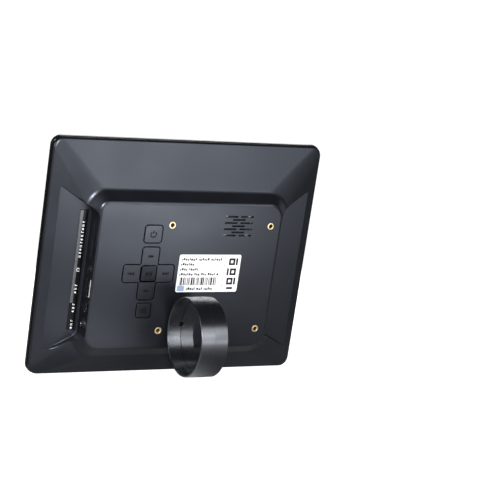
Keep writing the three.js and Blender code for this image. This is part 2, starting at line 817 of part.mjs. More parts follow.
function makeWasher() {
  const low = boardSeat + 0.6;
  const high = padFlangeLow - seatGap - 0.5;
  const outside = rounded(centred(keyX, keyZ, 2 * washerOuter, 2 * washerOuter), 1, 3);
  const inside = centred(keyX, keyZ, 2 * washerInner, 2 * washerInner);
  const hole = extruded(rounded(inside, 0.4, 2), "y", [low - 1, high + 1]);
  const ring = extruded(outside, "y", [low, high]).subtract(hole);
  const nub = (x, z, depth) =>
    extruded(rounded(centred(x, z, washerNubSize, washerNubSize), 0.3, 2), "y", depth);
  const under = [boardSeat, low + 0.2];
  const over = [high - 0.2, padFlangeLow - seatGap];
  return joined(
    ring,
    nub(keyX - washerNub, keyZ, under),
    nub(keyX + washerNub, keyZ, under),
    nub(keyX, keyZ - washerNub, over),
    nub(keyX, keyZ + washerNub, over),
  );
}

// Mainboard and what is soldered to it

const sunkPorts = [phonePort, usbPort, powerPort]; // these sit in cut-outs of the board

function makeBoard() {
  const tabHigh = keyZ + boardTabHalf;
  const tabLow = keyZ - boardTabHalf;
  const corners = [
    [boardLeft, boardLow],
    [boardEdge, boardLow],
    [boardEdge, boardHigh],
    [boardLeft, boardHigh],
    [boardLeft, tabHigh],
    [boardLeft - boardTab, tabHigh],
    [boardLeft - boardTab, tabLow],
    [boardLeft, tabLow],
  ];
  const sheet = extruded(rounded(corners, 0.8, 2), "y", [boardFront, boardRear]);
  const depth = [boardFront - 1, boardRear + 1];
  const cuts = sunkPorts.map((port) => {
    const half = port.width / 2 + fitGap;
    const middle = plateauZ + port.at;
    const length = [bodyMouth - port.depth - fitGap, boardEdge + 1];
    return block(length, depth, [middle - half, middle + half]);
  });
  const holes = boardPlaces.map(([x, z]) => rod(x, z, screwRadius + fitGap, depth));
  return sheet.subtract(joined(cuts, holes));
}

function makeBoardScrew(x, z) {
  const head = boardFront - seatGap;
  const { radius, height, crown } = screwHead;
  return turned(x, z, [
    [0, head - height],
    [radius - crown, head - height],
    [radius, head - height / 2],
    [radius, head],
    [screwRadius, head],
    [screwRadius, boardRear + screwReach],
    [0, boardRear + screwReach],
  ], 12);
}

// The slot's steel case, which keeps clear of the arrow pad's flange
function makeCardSocket() {
  const { at, width, height, depth, wall } = cardSlot;
  const z = plateauZ + at;
  const foot = Math.max(z - width / 2 - wall, keyZ + padArm / 2 + keyRim + fitGap);
  const x = [bodyMouth - depth, bodyMouth];
  const body = block(x, [boardSeat, innerFace - fitGap], [foot, z + width / 2 + wall]);
  const mouth = height / 2 - 0.15;
  const throat = block([x[0] + boreFloor, bodyMouth + 1], [cardY - mouth, cardY + mouth], [
    Math.max(z - width / 2, foot + wall / 2),
    z + width / 2,
  ]);
  return body.subtract(throat);
}

// Moulded body behind the wall with a round collar that reaches through it
function roundSocket({ at, radius, bore, width, height, depth }, y) {
  const z = plateauZ + at;
  const body = block([bodyMouth - depth, bodyMouth], [y - height / 2, y + height / 2], [
    z - width / 2,
    z + width / 2,
  ]);
  const collar = crossRod(y, z, radius, [bodyMouth - 1, portMouth]);
  const hole = crossRod(y, z, bore, [bodyMouth - depth + boreFloor, portMouth + 1]);
  return joined(body, collar).subtract(hole);
}

function shellSocket(port, y) {
  const tube = (inset, x) => extruded(portOutline(port, y, -inset, shellCorner - inset), "x", x);
  const root = bodyMouth - port.depth;
  return tube(0, [root, portMouth]).subtract(tube(shellWall, [root + 1, portMouth + 1]));
}

function tongue({ width, low, high, back }, root, port, y) {
  const z = plateauZ + port.at;
  return block([root, portMouth - back], [y + low, y + high], [z - width / 2, z + width / 2]);
}

function makeUsbTongue() {
  return tongue(usbTongue, bodyMouth - usbPort.depth + 1 + seatGap, usbPort, usbY);
}

function makeMiniSocket() {
  const root = bodyMouth - miniPort.depth + 0.5;
  return shellSocket(miniPort, miniY).add(tongue(miniTongue, root, miniPort, miniY));
}

function makePowerPin() {
  const root = bodyMouth - powerPort.depth + boreFloor + seatGap;
  return crossRod(powerY, plateauZ + powerPort.at, powerPinRadius, [root, portMouth - 0.8], 16);
}

function makeSwitch([x, z]) {
  const corners = centred(x, z, switchSize, switchSize);
  const body = extruded(rounded(corners, 0.5, 1), "y", [boardSeat, boardSeat + switchBody]);
  return body.add(rod(x, z, stemRadius, [boardSeat + switchBody - 0.2, switchTop], 16));
}

function onBoardFront(x, z, { width, height, depth }) {
  const base = boardFront - seatGap;
  return extruded(rounded(centred(x, z, width, height), 0.4, 1), "y", [base - depth, base]);
}

function makeChip(chip) {
  return onBoardFront(keyX + chipsAcross, keyZ + chip.up, chip);
}

function makeCapacitor() {
  const base = boardFront - seatGap;
  const { inset, radius, height } = capacitor;
  return turned(boardLeft + inset, boardHigh - inset, [
    [0, base - height],
    [radius - 0.3, base - height],
    [radius, base - height + 0.3],
    [radius, base - 1.6],
    [radius - 0.35, base - 1.3],
    [radius, base - 1],
    [radius, base],
    [0, base],
  ], 16);
}

// Loudspeaker

function makeBasket() {
  const rim = speakerRadius;
  const back = speakerFace - basketDepth;
  const vent = 3;
  return turned(speakerX, speakerZ, [
    [rim - basketRim, speakerFace],
    [rim - basketRim - 2.1, back + basketSheet],
    [vent, back + basketSheet],
    [vent, back],
    [rim - basketRim - 1.8, back],
    [rim - basketRim + 0.5, speakerFace - basketSheet],
    [rim, speakerFace - basketSheet],
    [rim, speakerFace],
  ], 24);
}

// Paper cone with a dust cap, clear of the basket all round
function makeCone() {
  const rim = speakerRadius - basketRim - 0.4;
  return turned(speakerX, speakerZ, [
    [0, speakerFace - 1.3],
    [2.2, speakerFace - 1.6],
    [2.8, speakerFace - 2.1],
    [rim, speakerFace - 0.45],
    [rim, speakerFace - 0.1],
    [3, speakerFace - 1.75],
    [2.3, speakerFace - 1.25],
    [0, speakerFace - 0.95],
  ], 20);
}

function makeMagnet() {
  const back = speakerFace - basketDepth - seatGap;
  return rod(speakerX, speakerZ, speakerRadius * magnetShare, [back - magnetDepth, back], 32);
}

const plugAt = { x: boardLeft - leadPlug.left, z: keyZ + leadPlug.up };

function makeLeadPlug() {
  const { width, height, depth } = leadPlug;
  return extruded(rounded(centred(plugAt.x, plugAt.z, width, height), 0.4, 2), "y", [
    boardSeat,
    boardSeat + depth,
  ]);
}

// Two-wire lead from the plug to the basket's edge
function makeLead() {
  const start = plugAt.x - leadPlug.width / 2 - fitGap;
  const y = boardSeat + leadPlug.depth / 2;
  const end = speakerX + speakerRadius - 1.3;
  const endY = speakerFace - basketSheet - leadRadius - 0.3;
  const route = new THREE.CatmullRomCurve3(
    [
      [start, y, plugAt.z],
      [start - 5, y, plugAt.z + 0.4],
      [start - 14, y + 0.3, plugAt.z + 6],
      [end + 6, y - 0.7, speakerZ - 5],
      [end, Math.min(y - 0.9, endY), speakerZ - 1.5],
    ].map((point) => new THREE.Vector3(...point)),
  );
  const section = new THREE.Shape();
  section.absarc(0, 0, leadRadius, 0, 2 * Math.PI);
  return solid(
    new THREE.ExtrudeGeometry(section, { steps: 22, curveSegments: 4, extrudePath: route }),
  );
}

// Labels

function makeLabel() {
  const corners = centred(labelX, plateauZ + labelRise, labelWidth, labelHeight);
  const y = frameDepth + seatGap / 2;
  return extruded(rounded(corners, labelCorner, 3), "y", [y, y + labelDepth]);
}

function makeStrip() {
  const foot = plateauX + (frameDepth - recessFloor) * Math.tan(recessDraft);
  const low = plateauLow + recessBottom + stripEnd;
  const high = plateauHigh - recessTop - stripEnd + 1.8;
  const corners = rectangle([foot + stripInset, foot + stripInset + stripWidth], [low, high]);
  const y = recessFloor + seatGap / 2;
  return extruded(rounded(corners, 0.5, 2), "y", [y, y + labelDepth]);
}

// Ring stand. Its mould parts half way across, so both faces taper slightly from there.

function makeRing() {
  const half = ringWidth / 2;
  const edge = ringEdge;
  const inner = ringRadius - ringWall;
  const geometry = new THREE.LatheGeometry(
    [
      [inner, 0],
      [inner + ringDraft, edge - half],
      [inner + ringDraft + edge, -half],
      [ringRadius - ringDraft - edge, -half],
      [ringRadius - ringDraft, edge - half],
      [ringRadius, 0],
      [ringRadius - ringDraft, half - edge],
      [ringRadius - ringDraft - edge, half],
      [inner + ringDraft + edge, half],
      [inner + ringDraft, half - edge],
      [inner, 0],
    ].map(([radius, across]) => new THREE.Vector2(radius, across)),
    64,
  );
  geometry.rotateZ(Math.PI / 2).rotateX(leanBack).translate(0, ringRadius + ringStandOff, 0);
  const boss = rod(0, 0, ringBoss, [fitGap, ringStandOff + 1], 32);
  const hole = rod(0, 0, studRadius + insertGap, [-1, ringStandOff + ringWall + 2]);
  return solid(geometry).add(boss).subtract(hole);
}

function makeStud() {
  const tip = ringStandOff + ringWall - studTip;
  const socket = rod(0, 0, studSocket.radius, [tip - studSocket.depth, tip + 1], 6);
  return rod(0, 0, studRadius, [1 - insertLength, tip]).subtract(socket);
}

// Assembly

function addAll(group, ...meshes) {
  meshes.flat().forEach((mesh) => group.add(mesh));
  return group;
}

function makeHousing() {
  const housing = new THREE.Group();
  addAll(
    housing,
    piece("front_bezel", makeBezel(), blackGloss),
    piece("rear_cover", makeCover(), blackSatin),
    mountPlaces.map(([x, z], i) => {
      const insert = makeInsert(x, z, insertRadius, insertBore, insertLength);
      return piece("wall_insert_" + (i + 1), insert, brass);
    }),
    piece(
      "stand_insert",
      makeInsert(0, standZ, studInsert, studRadius + insertGap, insertLength + 1),
      brass,
    ),
    piece("rating_label", makeLabel(), paperWhite),
    piece("port_strip", makeStrip(), blackGloss),
  );
  return housing;
}

function makeDisplay() {
  return addAll(
    new THREE.Group(),
    piece("lcd_tray", makeTray(), steel),
    piece("backlight_guide", makeGuide(), acrylic),
    piece("lcd_glass", makeGlass(), screenGlass),
    piece("lcd_flex", makeFlex(), amberFilm),
  );
}

function makeElectronics() {
  const switches = {
    power: [keyX, keyZ + powerKey.offset],
    menu: [keyX, keyZ + menuKey.offset],
    ok: [keyX, keyZ],
    ...arrowPlaces,
  };
  return addAll(
    new THREE.Group(),
    piece("mainboard", makeBoard(), boardGreen),
    boardPlaces.map(([x, z], i) => piece("board_screw_" + (i + 1), makeBoardScrew(x, z), steel)),
    Object.entries(switches).map(([way, place]) =>
      piece("key_switch_" + way, makeSwitch(place), darkPlastic),
    ),
    piece("card_socket", makeCardSocket(), steel),
    piece("headphone_socket", roundSocket(phonePort, phoneY), darkPlastic),
    piece("usb_socket", shellSocket(usbPort, usbY), nickel),
    piece("usb_tongue", makeUsbTongue(), whitePlastic),
    piece("mini_usb_socket", makeMiniSocket(), nickel),
    piece("power_socket", roundSocket(powerPort, powerY), darkPlastic),
    piece("power_pin", makePowerPin(), nickel),
    piece("processor_chip", makeChip(processor), chipBlack),
    piece("memory_chip", makeChip(memory), chipBlack),
    piece("flash_chip", makeChip(flash), chipBlack),
    piece("filter_capacitor", makeCapacitor(), nickel),
    piece("flex_connector", onBoardFront(flexConnector.x, flexConnector.z, flexPlug), darkPlastic),
  );
}

function makeSpeaker() {
  return addAll(
    new THREE.Group(),
    piece("speaker_basket", makeBasket(), steel),
    piece("speaker_cone", makeCone(), chipBlack),
    piece("speaker_magnet", makeMagnet(), magnetGrey),
    piece("speaker_plug", makeLeadPlug(), whitePlastic),
    piece("speaker_lead", makeLead(), chipBlack),
  );
}

function makeKeys() {
  return addAll(
    new THREE.Group(),
    piece("power_key", makeKey(powerKey), keyBlack),
    piece("menu_key", makeKey(menuKey), keyBlack),
    piece("ok_key", makeOkKey(), keyBlack),
    piece("arrow_pad", makeArrowPad(), keyBlack),
    piece("pad_rocker_washer", makeWasher(), darkPlastic),
  );
}

// The stand's own origin is on the plateau, on the stud's axis
function makeStand() {
  const stand = addAll(
    new THREE.Group(),
    piece("stand_ring", makeRing(), blackSatin),
    piece("stand_stud", makeStud(), brass),
  );
  stand.position.set(0, frameDepth, standZ);
  return stand;
}

const photoFrame = new THREE.Group();
photoFrame.add(makeHousing(), makeDisplay(), makeElectronics(), makeSpeaker(), makeKeys(), makeStand());

// Lean the assembly, then set its lowest point at z = 0 and its bounding box's middle at x = y = 0
photoFrame.rotation.x = -leanBack;
const front = bezelEdge * (Math.cos(leanBack) + Math.sin(leanBack) - 1);
const rear = ringAxis * Math.cos(leanBack) + standZ * Math.sin(leanBack) + ringRadius;
photoFrame.position.set(0, -(front + rear) / 2, bezelDepth * Math.sin(leanBack));

export default photoFrame;
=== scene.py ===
# Looks, light and camera for a digital photo frame that leans back on its ring stand.
# Pieces are modelled with the frame standing straight on its bottom edge, then leaned back into place.
import json
import math
from types import SimpleNamespace

import bmesh
import bpy
from mathutils import Matrix, Vector


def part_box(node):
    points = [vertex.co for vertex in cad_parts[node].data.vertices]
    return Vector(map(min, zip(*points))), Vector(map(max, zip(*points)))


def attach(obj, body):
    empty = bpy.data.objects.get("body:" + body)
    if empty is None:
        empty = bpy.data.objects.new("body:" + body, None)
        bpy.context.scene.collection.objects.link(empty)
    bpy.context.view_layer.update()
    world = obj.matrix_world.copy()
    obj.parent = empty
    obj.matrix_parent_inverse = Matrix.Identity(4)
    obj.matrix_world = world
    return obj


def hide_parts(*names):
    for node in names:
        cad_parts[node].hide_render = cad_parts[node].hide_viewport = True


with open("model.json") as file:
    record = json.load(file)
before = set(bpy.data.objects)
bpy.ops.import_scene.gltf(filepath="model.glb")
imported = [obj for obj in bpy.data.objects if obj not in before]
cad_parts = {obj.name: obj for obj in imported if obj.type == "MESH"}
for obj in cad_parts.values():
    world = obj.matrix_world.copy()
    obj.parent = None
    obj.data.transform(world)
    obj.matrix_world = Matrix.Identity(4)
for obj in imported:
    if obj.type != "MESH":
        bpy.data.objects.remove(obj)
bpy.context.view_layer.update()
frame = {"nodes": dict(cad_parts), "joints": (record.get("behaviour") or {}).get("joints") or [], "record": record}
mm = 0.001
print("frame loaded with", len(frame["nodes"]), "nodes")

# Lean and foot of the frame: y runs from the glass to the back, z up the frame, in millimetres
swivel = next(joint for joint in frame["joints"] if joint["name"] == "stand_swivel")
leanAngle = math.atan2(-swivel["axis"][2], swivel["axis"][1])
glassLow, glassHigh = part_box("lcd_glass")
glassMiddle = Vector((0, 3.2, 82.4)) * mm
foot = (glassLow + glassHigh) / 2 - Matrix.Rotation(-leanAngle, 3, "X") @ glassMiddle

outline = {"width": 200.8, "height": 164.8, "depth": 22.5, "seam": 0.4}
plateau = {"side": 32.4, "top": 39.4, "bottom": 22.9, "step": 7.1}
halfWide = outline["width"] / 2
plateauX = halfWide - plateau["side"]
plateauLow = plateau["bottom"]
plateauHigh = outline["height"] - plateau["top"]
plateauZ = (plateauLow + plateauHigh) / 2
backFace = outline["depth"]


# Small helpers, one for each thing done again and again

def selectOnly(*pieces):
    bpy.ops.object.select_all(action="DESELECT")
    for piece in pieces:
        piece.select_set(True)
    bpy.context.view_layer.objects.active = pieces[-1]


def settle(piece):
    # its place and turn go into the mesh, so the object stays at the origin, unturned
    selectOnly(piece)
    bpy.ops.object.transform_apply(location=True, rotation=True, scale=True)
    return piece


def settleAt(piece, x, z):
    piece.location = (x * mm, 0, z * mm)
    return settle(piece)


def newPiece(name):
    piece = bpy.context.active_object
    piece.name = name
    return settle(piece)


def copyPiece(first):
    copy = first.copy()
    copy.data = first.data.copy()
    bpy.context.scene.collection.objects.link(copy)
    return copy


def startEdit(piece, kind="FACE"):
    selectOnly(piece)
    bpy.ops.object.mode_set(mode="EDIT")
    bpy.ops.mesh.select_mode(type=kind)
    bpy.ops.mesh.select_all(action="DESELECT")


def endEdit(outward=False):
    if outward:  # all faces turned to look outwards
        pickAll()
        bpy.ops.mesh.normals_make_consistent(inside=False)
    bpy.ops.object.mode_set(mode="OBJECT")


def pickAll():
    bpy.ops.mesh.select_all(action="SELECT")


def pickFaces(piece, test):
    shape = bmesh.from_edit_mesh(piece.data)
    shape.normal_update()
    for face in shape.faces:
        face.select_set(bool(test(face.calc_center_median() / mm, face.normal)))
    bmesh.update_edit_mesh(piece.data)


def pickEdges(piece, test):
    shape = bmesh.from_edit_mesh(piece.data)
    shape.normal_update()
    for edge in shape.edges:
        ends = [point.co / mm for point in edge.verts]
        angle = math.degrees(edge.calc_face_angle(0))
        edge.select_set(bool(test(ends[0], ends[1], angle)))
    bmesh.update_edit_mesh(piece.data)


def atDepth(depth, *points):
    return all(abs(point.y - depth) < 0.01 for point in points)


def pickPoints(piece, test):
    shape = bmesh.from_edit_mesh(piece.data)
    for point in shape.verts:
        point.select_set(bool(test(point.co / mm)))
    shape.select_flush_mode()
    bmesh.update_edit_mesh(piece.data)


def shift(x=0.0, y=0.0, z=0.0):
    bpy.ops.transform.translate(value=(x * mm, y * mm, z * mm))


def addBox(name, low, high):
    middle = [(a + b) / 2 * mm for a, b in zip(low, high)]
    size = [(b - a) * mm for a, b in zip(low, high)]
    bpy.ops.mesh.primitive_cube_add(size=1, location=middle, scale=size)
    return newPiece(name)


def addDrum(name, radius, start, end, sides=48):
    # round bar between two points on one axis
    start, end = Vector(start) * mm, Vector(end) * mm
    along = end - start
    bpy.ops.mesh.primitive_cylinder_add(
        vertices=sides, radius=radius * mm, depth=along.length, location=(start + end) / 2,
        rotation=along.to_track_quat("Z", "Y").to_euler())
    return newPiece(name)


def bevelPicked(width, steps, clamp=True):
    bpy.ops.mesh.bevel(offset=width * mm, segments=steps, affect="EDGES", clamp_overlap=clamp)


def roundCorners(piece, radius, steps=6, axis=1):
    # rounds the edges of a box that run along one axis
    startEdit(piece, "EDGE")
    pickEdges(piece, lambda a, b, angle: angle > 30 and abs((b - a).normalized()[axis]) > 0.95)
    bevelPicked(radius, steps)
    endEdit()


def softenEdges(piece, test, width, steps=3, clamp=True):
    startEdit(piece, "EDGE")
    pickEdges(piece, test)
    bevelPicked(width, steps, clamp)
    endEdit()


def useModifier(piece, kind, **settings):
    selectOnly(piece)
    modifier = piece.modifiers.new(kind.title(), kind)
    for key, value in settings.items():
        setattr(modifier, key, value)
    bpy.ops.object.modifier_apply(modifier=modifier.name)


def joinUp(pieces):
    selectOnly(*pieces)
    bpy.ops.object.join()
    return bpy.context.active_object


def carve(piece, cutters, operation="DIFFERENCE"):
    # one boolean with all cutters, which are then thrown away
    tool = joinUp(cutters) if len(cutters) > 1 else cutters[0]
    useModifier(piece, "BOOLEAN", operation=operation, object=tool, solver="EXACT", use_self=True)
    bpy.data.objects.remove(tool)


def cleanUp(piece):
    startEdit(piece)
    pickAll()
    bpy.ops.mesh.remove_doubles(threshold=0.000002)
    bpy.ops.mesh.dissolve_limited(angle_limit=math.radians(0.3))
    endEdit()


def turnedPiece(name, profile, axis, sides=64):
    # profile of (x, y, z) points spun once round an axis, given as a point and a direction
    bpy.ops.mesh.primitive_plane_add(size=mm, location=Vector(profile[0]) * mm)
    piece = newPiece(name)
    startEdit(piece, "VERT")
    pickAll()
    bpy.ops.mesh.merge(type="CENTER")
    for last, point in zip(profile, profile[1:]):
        step = (Vector(point) - Vector(last)) * mm
        bpy.ops.mesh.extrude_region_move(TRANSFORM_OT_translate={"value": step})
    pickAll()
    bpy.ops.mesh.spin(steps=sides, angle=2 * math.pi, center=Vector(axis[0]) * mm, axis=axis[1])
    pickAll()
    bpy.ops.mesh.remove_doubles(threshold=0.000002)
    endEdit(outward=True)
    return piece


def finishPiece(piece, body, material, nodes=(), smooth=35, weighted=True):
    # smooth, lean back, paint, and hang on the body that carries the piece
    selectOnly(piece)
    bpy.ops.object.shade_smooth_by_angle(angle=math.radians(smooth))
    if weighted:
        useModifier(piece, "WEIGHTED_NORMAL", keep_sharp=True)
    piece.rotation_euler.x = -leanAngle
    piece.location = foot
    settle(piece)
    piece.data.materials.clear()
    piece.data.materials.append(material)
    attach(piece, body)
    if nodes:
        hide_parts(*nodes)
    return piece


# Finishes

def setInputs(node, values):
    for name, value in values.items():
        node.inputs[name].default_value = value


def newFinish(name):
    material = bpy.data.materials.new(name)
    material.use_nodes = True
    nodes, links = material.node_tree.nodes, material.node_tree.links
    place = nodes.new("ShaderNodeTexCoord").outputs["Object"]
    return SimpleNamespace(material=material, nodes=nodes, links=links, shader=nodes["Principled BSDF"],
                           place=place)


def addGrain(finish, scale, height, detail=3.0, stretch=None):
    nodes, links, place = finish.nodes, finish.links, finish.place
    if stretch:
        turn = nodes.new("ShaderNodeMapping")
        setInputs(turn, {"Scale": stretch})
        links.new(place, turn.inputs["Vector"])
        place = turn.outputs["Vector"]
    noise = nodes.new("ShaderNodeTexNoise")
    setInputs(noise, {"Scale": scale, "Detail": detail})
    links.new(place, noise.inputs["Vector"])
    bump = nodes.new("ShaderNodeBump")
    setInputs(bump, {"Strength": 1.0, "Distance": height * mm})
    links.new(noise.outputs["Fac"], bump.inputs["Height"])
    links.new(bump.outputs["Normal"], finish.shader.inputs["Normal"])


def addSpread(finish, socket, scale, low, high):
    # slow drift of one value over the surface, from low to high
    nodes, links = finish.nodes, finish.links
    noise = nodes.new("ShaderNodeTexNoise")
    setInputs(noise, {"Scale": scale, "Detail": 4.0})
    links.new(finish.place, noise.inputs["Vector"])
    ramp = nodes.new("ShaderNodeValToRGB")
    for element, position, value in zip(ramp.color_ramp.elements, (0.35, 0.65), (low, high)):
        element.position = position
        element.color = (*value, 1) if isinstance(value, tuple) else (value, value, value, 1)
    links.new(noise.outputs["Fac"], ramp.inputs["Fac"])
    links.new(ramp.outputs["Color"], finish.shader.inputs[socket])


def moulded(name, colour, shared, **own):
    # plastic, film or ink: fine grain, a slow drift in gloss and a slight drift in colour
    look = {**shared, **own}
    finish = newFinish(name)
    addGrain(finish, *look["grain"], stretch=look.get("stretch"))
    coat, coatRoughness = look.get("coat", (0.0, 0.1))
    gloss, drift, scale = look["roughness"], look["drift"], look["driftScale"]
    addSpread(finish, "Roughness", scale, gloss - drift, gloss + drift)
    addSpread(finish, "Base Color", scale * 2.2, colour, tuple(min(1.0, c * look["lift"]) for c in colour))
    setInputs(finish.shader, {
        "Specular IOR Level": look["specular"], "Specular Tint": look.get("sheen", (1, 1, 1, 1)),
        "Coat Weight": coat, "Coat Roughness": coatRoughness})
    return finish.material


caseLook = {"lift": 1.15, "drift": 0.03, "sheen": (0.78, 0.85, 1.0, 1)}
plainLook = {"lift": 1.2, "drift": 0.05, "specular": 0.5}
inkLook = {"lift": 1.3, "roughness": 0.5, "drift": 0.06, "specular": 0.25, "grain": (3000, 0.003),
           "driftScale": 200}

satinPlastic = moulded("satinPlastic", (0.0026, 0.0029, 0.0042), caseLook, roughness=0.36, specular=0.68,
                       grain=(4200, 0.018), driftScale=26)
keyPlastic = moulded("keyPlastic", (0.0026, 0.0029, 0.0040), caseLook, roughness=0.34, specular=0.65,
                     grain=(6500, 0.007), driftScale=60)
okPlastic = moulded("okPlastic", (0.0018, 0.0020, 0.0028), caseLook, roughness=0.28, specular=0.42,
                    grain=(6500, 0.005), driftScale=60)
ringPlastic = moulded("ringPlastic", (0.0026, 0.0029, 0.0040), caseLook, roughness=0.29, specular=0.74,
                      coat=(1.0, 0.26), grain=(1.0, 0.008), driftScale=45, stretch=(1300, 240, 240))
glossPlastic = moulded("glossPlastic", (0.0030, 0.0032, 0.0040), plainLook, lift=1.1, roughness=0.16,
                       drift=0.03, specular=0.25, grain=(900, 0.001), driftScale=18)
darkMoulding = moulded("darkMoulding", (0.012, 0.0125, 0.014), plainLook, roughness=0.5, specular=0.45,
                       grain=(4200, 0.01), driftScale=120)
chipResin = moulded("chipResin", (0.016, 0.016, 0.017), plainLook, lift=1.25, roughness=0.62, drift=0.06,
                    specular=0.4, grain=(5200, 0.014), driftScale=160)
whitePlastic = moulded("whitePlastic", (0.78, 0.77, 0.74), plainLook, lift=1.04, roughness=0.42,
                       grain=(4200, 0.008), driftScale=90)
stripFilm = moulded("stripFilm", (0.003, 0.003, 0.0035), plainLook, lift=1.1, roughness=0.12, drift=0.02,
                    specular=0.14, grain=(700, 0.0012), driftScale=90)
paperWhite = moulded("paperWhite", (0.76, 0.765, 0.77), plainLook, lift=1.03, roughness=0.46,
                     grain=(3000, 0.004), driftScale=55, coat=(0.15, 0.3))
# near-black floors for the sunk key symbols: painted shade in the hollows
symbolShade = moulded("symbolShade", (0.0012, 0.0012, 0.0014), inkLook, roughness=0.6, drift=0.05,
                    specular=0.12)
inkBlack = moulded("inkBlack", (0.004, 0.004, 0.005), inkLook)
inkGrey = moulded("inkGrey", (0.012, 0.012, 0.014), inkLook)
inkBlue = moulded("inkBlue", (0.24, 0.32, 0.46), inkLook, lift=1.06, roughness=0.45, drift=0.05,
                  specular=0.4)
inkWhite = moulded("inkWhite", (0.7, 0.71, 0.72), inkLook, lift=1.05, roughness=0.4, drift=0.05,
                   specular=0.4)
# lighter grey on the port strip: a painted reflection on the glossy film
reflectionGrey = moulded("reflectionGrey", (0.065, 0.067, 0.075), inkLook, lift=1.15, roughness=0.3, drift=0.05,
                   specular=0.5, driftScale=120)
conePaper = moulded("conePaper", (0.02, 0.02, 0.021), plainLook, lift=1.5, roughness=0.75, drift=0.08,
                    specular=0.3, grain=(1500, 0.05), driftScale=300)
leadSheath = moulded("leadSheath", (0.015, 0.015, 0.016), plainLook, roughness=0.42, grain=(2200, 0.006),
                     driftScale=200)
flexFilm = moulded("flexFilm", (0.45, 0.17, 0.035), plainLook, lift=1.3, roughness=0.28,
                   grain=(1500, 0.003), driftScale=90, coat=(0.4, 0.1))


def metal(name, colour, roughness, lineScale, lineHeight):
    # turned, plated or rolled metal: fine grain, drawn out into lines by an uneven scale, smudged gloss
    finish = newFinish(name)
    addGrain(finish, 1.0, lineHeight, 2.0, lineScale)
    addSpread(finish, "Roughness", 420, roughness * 0.75, roughness * 1.3)
    addSpread(finish, "Base Color", 300, tuple(c * 0.86 for c in colour), colour)
    setInputs(finish.shader, {"Metallic": 1.0})
    return finish.material


turnedLines = (2600, 2600, 2600)
brassMetal = metal("brassMetal", (1.0, 0.84, 0.54), 0.42, turnedLines, 0.006)
# near-black brass: painted shade down the inserts' threaded bores
boreShade = metal("boreShade", (0.035, 0.011, 0.003), 0.5, turnedLines, 0.008)
# near black in place of the stud's brass: painted shade for the stud deep in the ring's hole
studShade = metal("studShade", (0.03, 0.03, 0.033), 0.5, turnedLines, 0.008)
sheetSteel = metal("sheetSteel", (0.60, 0.61, 0.63), 0.32, (200, 6000, 6000), 0.004)
nickelPlate = metal("nickelPlate", (0.74, 0.75, 0.72), 0.18, (900, 4200, 4200), 0.002)
ferriteGrey = metal("ferriteGrey", (0.10, 0.10, 0.105), 0.55, (1500, 1500, 1500), 0.02)


def circuitBoard():
    # green lacquer over copper runs, seen as a faint pattern of lighter lines and pads
    finish = newFinish("circuitBoard")
    cells = finish.nodes.new("ShaderNodeTexVoronoi")
    cells.distance = "CHEBYCHEV"
    setInputs(cells, {"Scale": 620})
    finish.links.new(finish.place, cells.inputs["Vector"])
    ramp = finish.nodes.new("ShaderNodeValToRGB")
    ramp.color_ramp.interpolation = "CONSTANT"
    ramp.color_ramp.elements[0].color = (0.60, 0.55, 0.42, 1)
    ramp.color_ramp.elements[1].position = 0.13
    ramp.color_ramp.elements[1].color = (0.010, 0.085, 0.036, 1)
    finish.links.new(cells.outputs["Distance"], ramp.inputs["Fac"])
    finish.links.new(ramp.outputs["Color"], finish.shader.inputs["Base Color"])
    addSpread(finish, "Roughness", 240, 0.28, 0.42)
    addGrain(finish, 900, 0.02)
    setInputs(finish.shader, {"Coat Weight": 0.4})
    return finish.material


def clearAcrylic():
    finish = newFinish("clearAcrylic")
    addSpread(finish, "Base Color", 60, (0.86, 0.88, 0.88), (0.93, 0.94, 0.94))
    addSpread(finish, "Roughness", 90, 0.06, 0.14)
    addGrain(finish, 2600, 0.01)
    setInputs(finish.shader, {"Transmission Weight": 0.55, "IOR": 1.49})
    return finish.material


def displayGlass():
    # unlit panel behind a fine anti-glare film
    finish = newFinish("displayGlass")
    addSpread(finish, "Base Color", 14, (0.006, 0.007, 0.009), (0.010, 0.011, 0.014))
    addSpread(finish, "Roughness", 30, 0.16, 0.22)
    addGrain(finish, 9000, 0.004)
    setInputs(finish.shader, {"Coat Weight": 0.6, "Coat Roughness": 0.12})
    return finish.material


panelGlass = displayGlass()
finishOf = {
    "satin_black_plastic": satinPlastic, "gloss_black_plastic": glossPlastic, "key_plastic": keyPlastic,
    "brass": brassMetal, "label_film": paperWhite, "gloss_black_film": stripFilm,
    "sheet_steel": sheetSteel, "clear_acrylic": clearAcrylic(), "display_glass": panelGlass,
    "flex_film": flexFilm, "circuit_board": circuitBoard(), "nickel_plate": nickelPlate,
    "ferrite": ferriteGrey, "cone_paper": conePaper, "white_plastic": whitePlastic,
    "lead_sheath": leadSheath, "chip_resin": chipResin, "black_moulding": darkMoulding,
}
for entry in frame["record"]["subparts"]:
    node = frame["nodes"][entry["node"]]
    for spot in node.material_slots:
        spot.material = finishOf[entry["material_slot"]]
print("finishes made and put on the packed nodes")


# Rear cover

cover = {
    "seamDepth": 5.1, "rimDepth": 7.3, "rimCorner": 6.6, "rimShare": 0.05, "rimSteps": 6,
    "shoulderDepth": 15.4, "shoulderCorner": 17.1, "shoulderFillet": 1.5, "plateauRound": 1.5,
    "wall": 2.0, "cornerSteps": 14, "tighter": 4.5, "hollowStart": 2.2, "hollowMouth": 4.4,
    "innerStep": (1.03, 7.93), "underShoulder": 1.8, "standHole": 3.15, "keyEdge": 0.15, "slotEdge": 0.12,
}


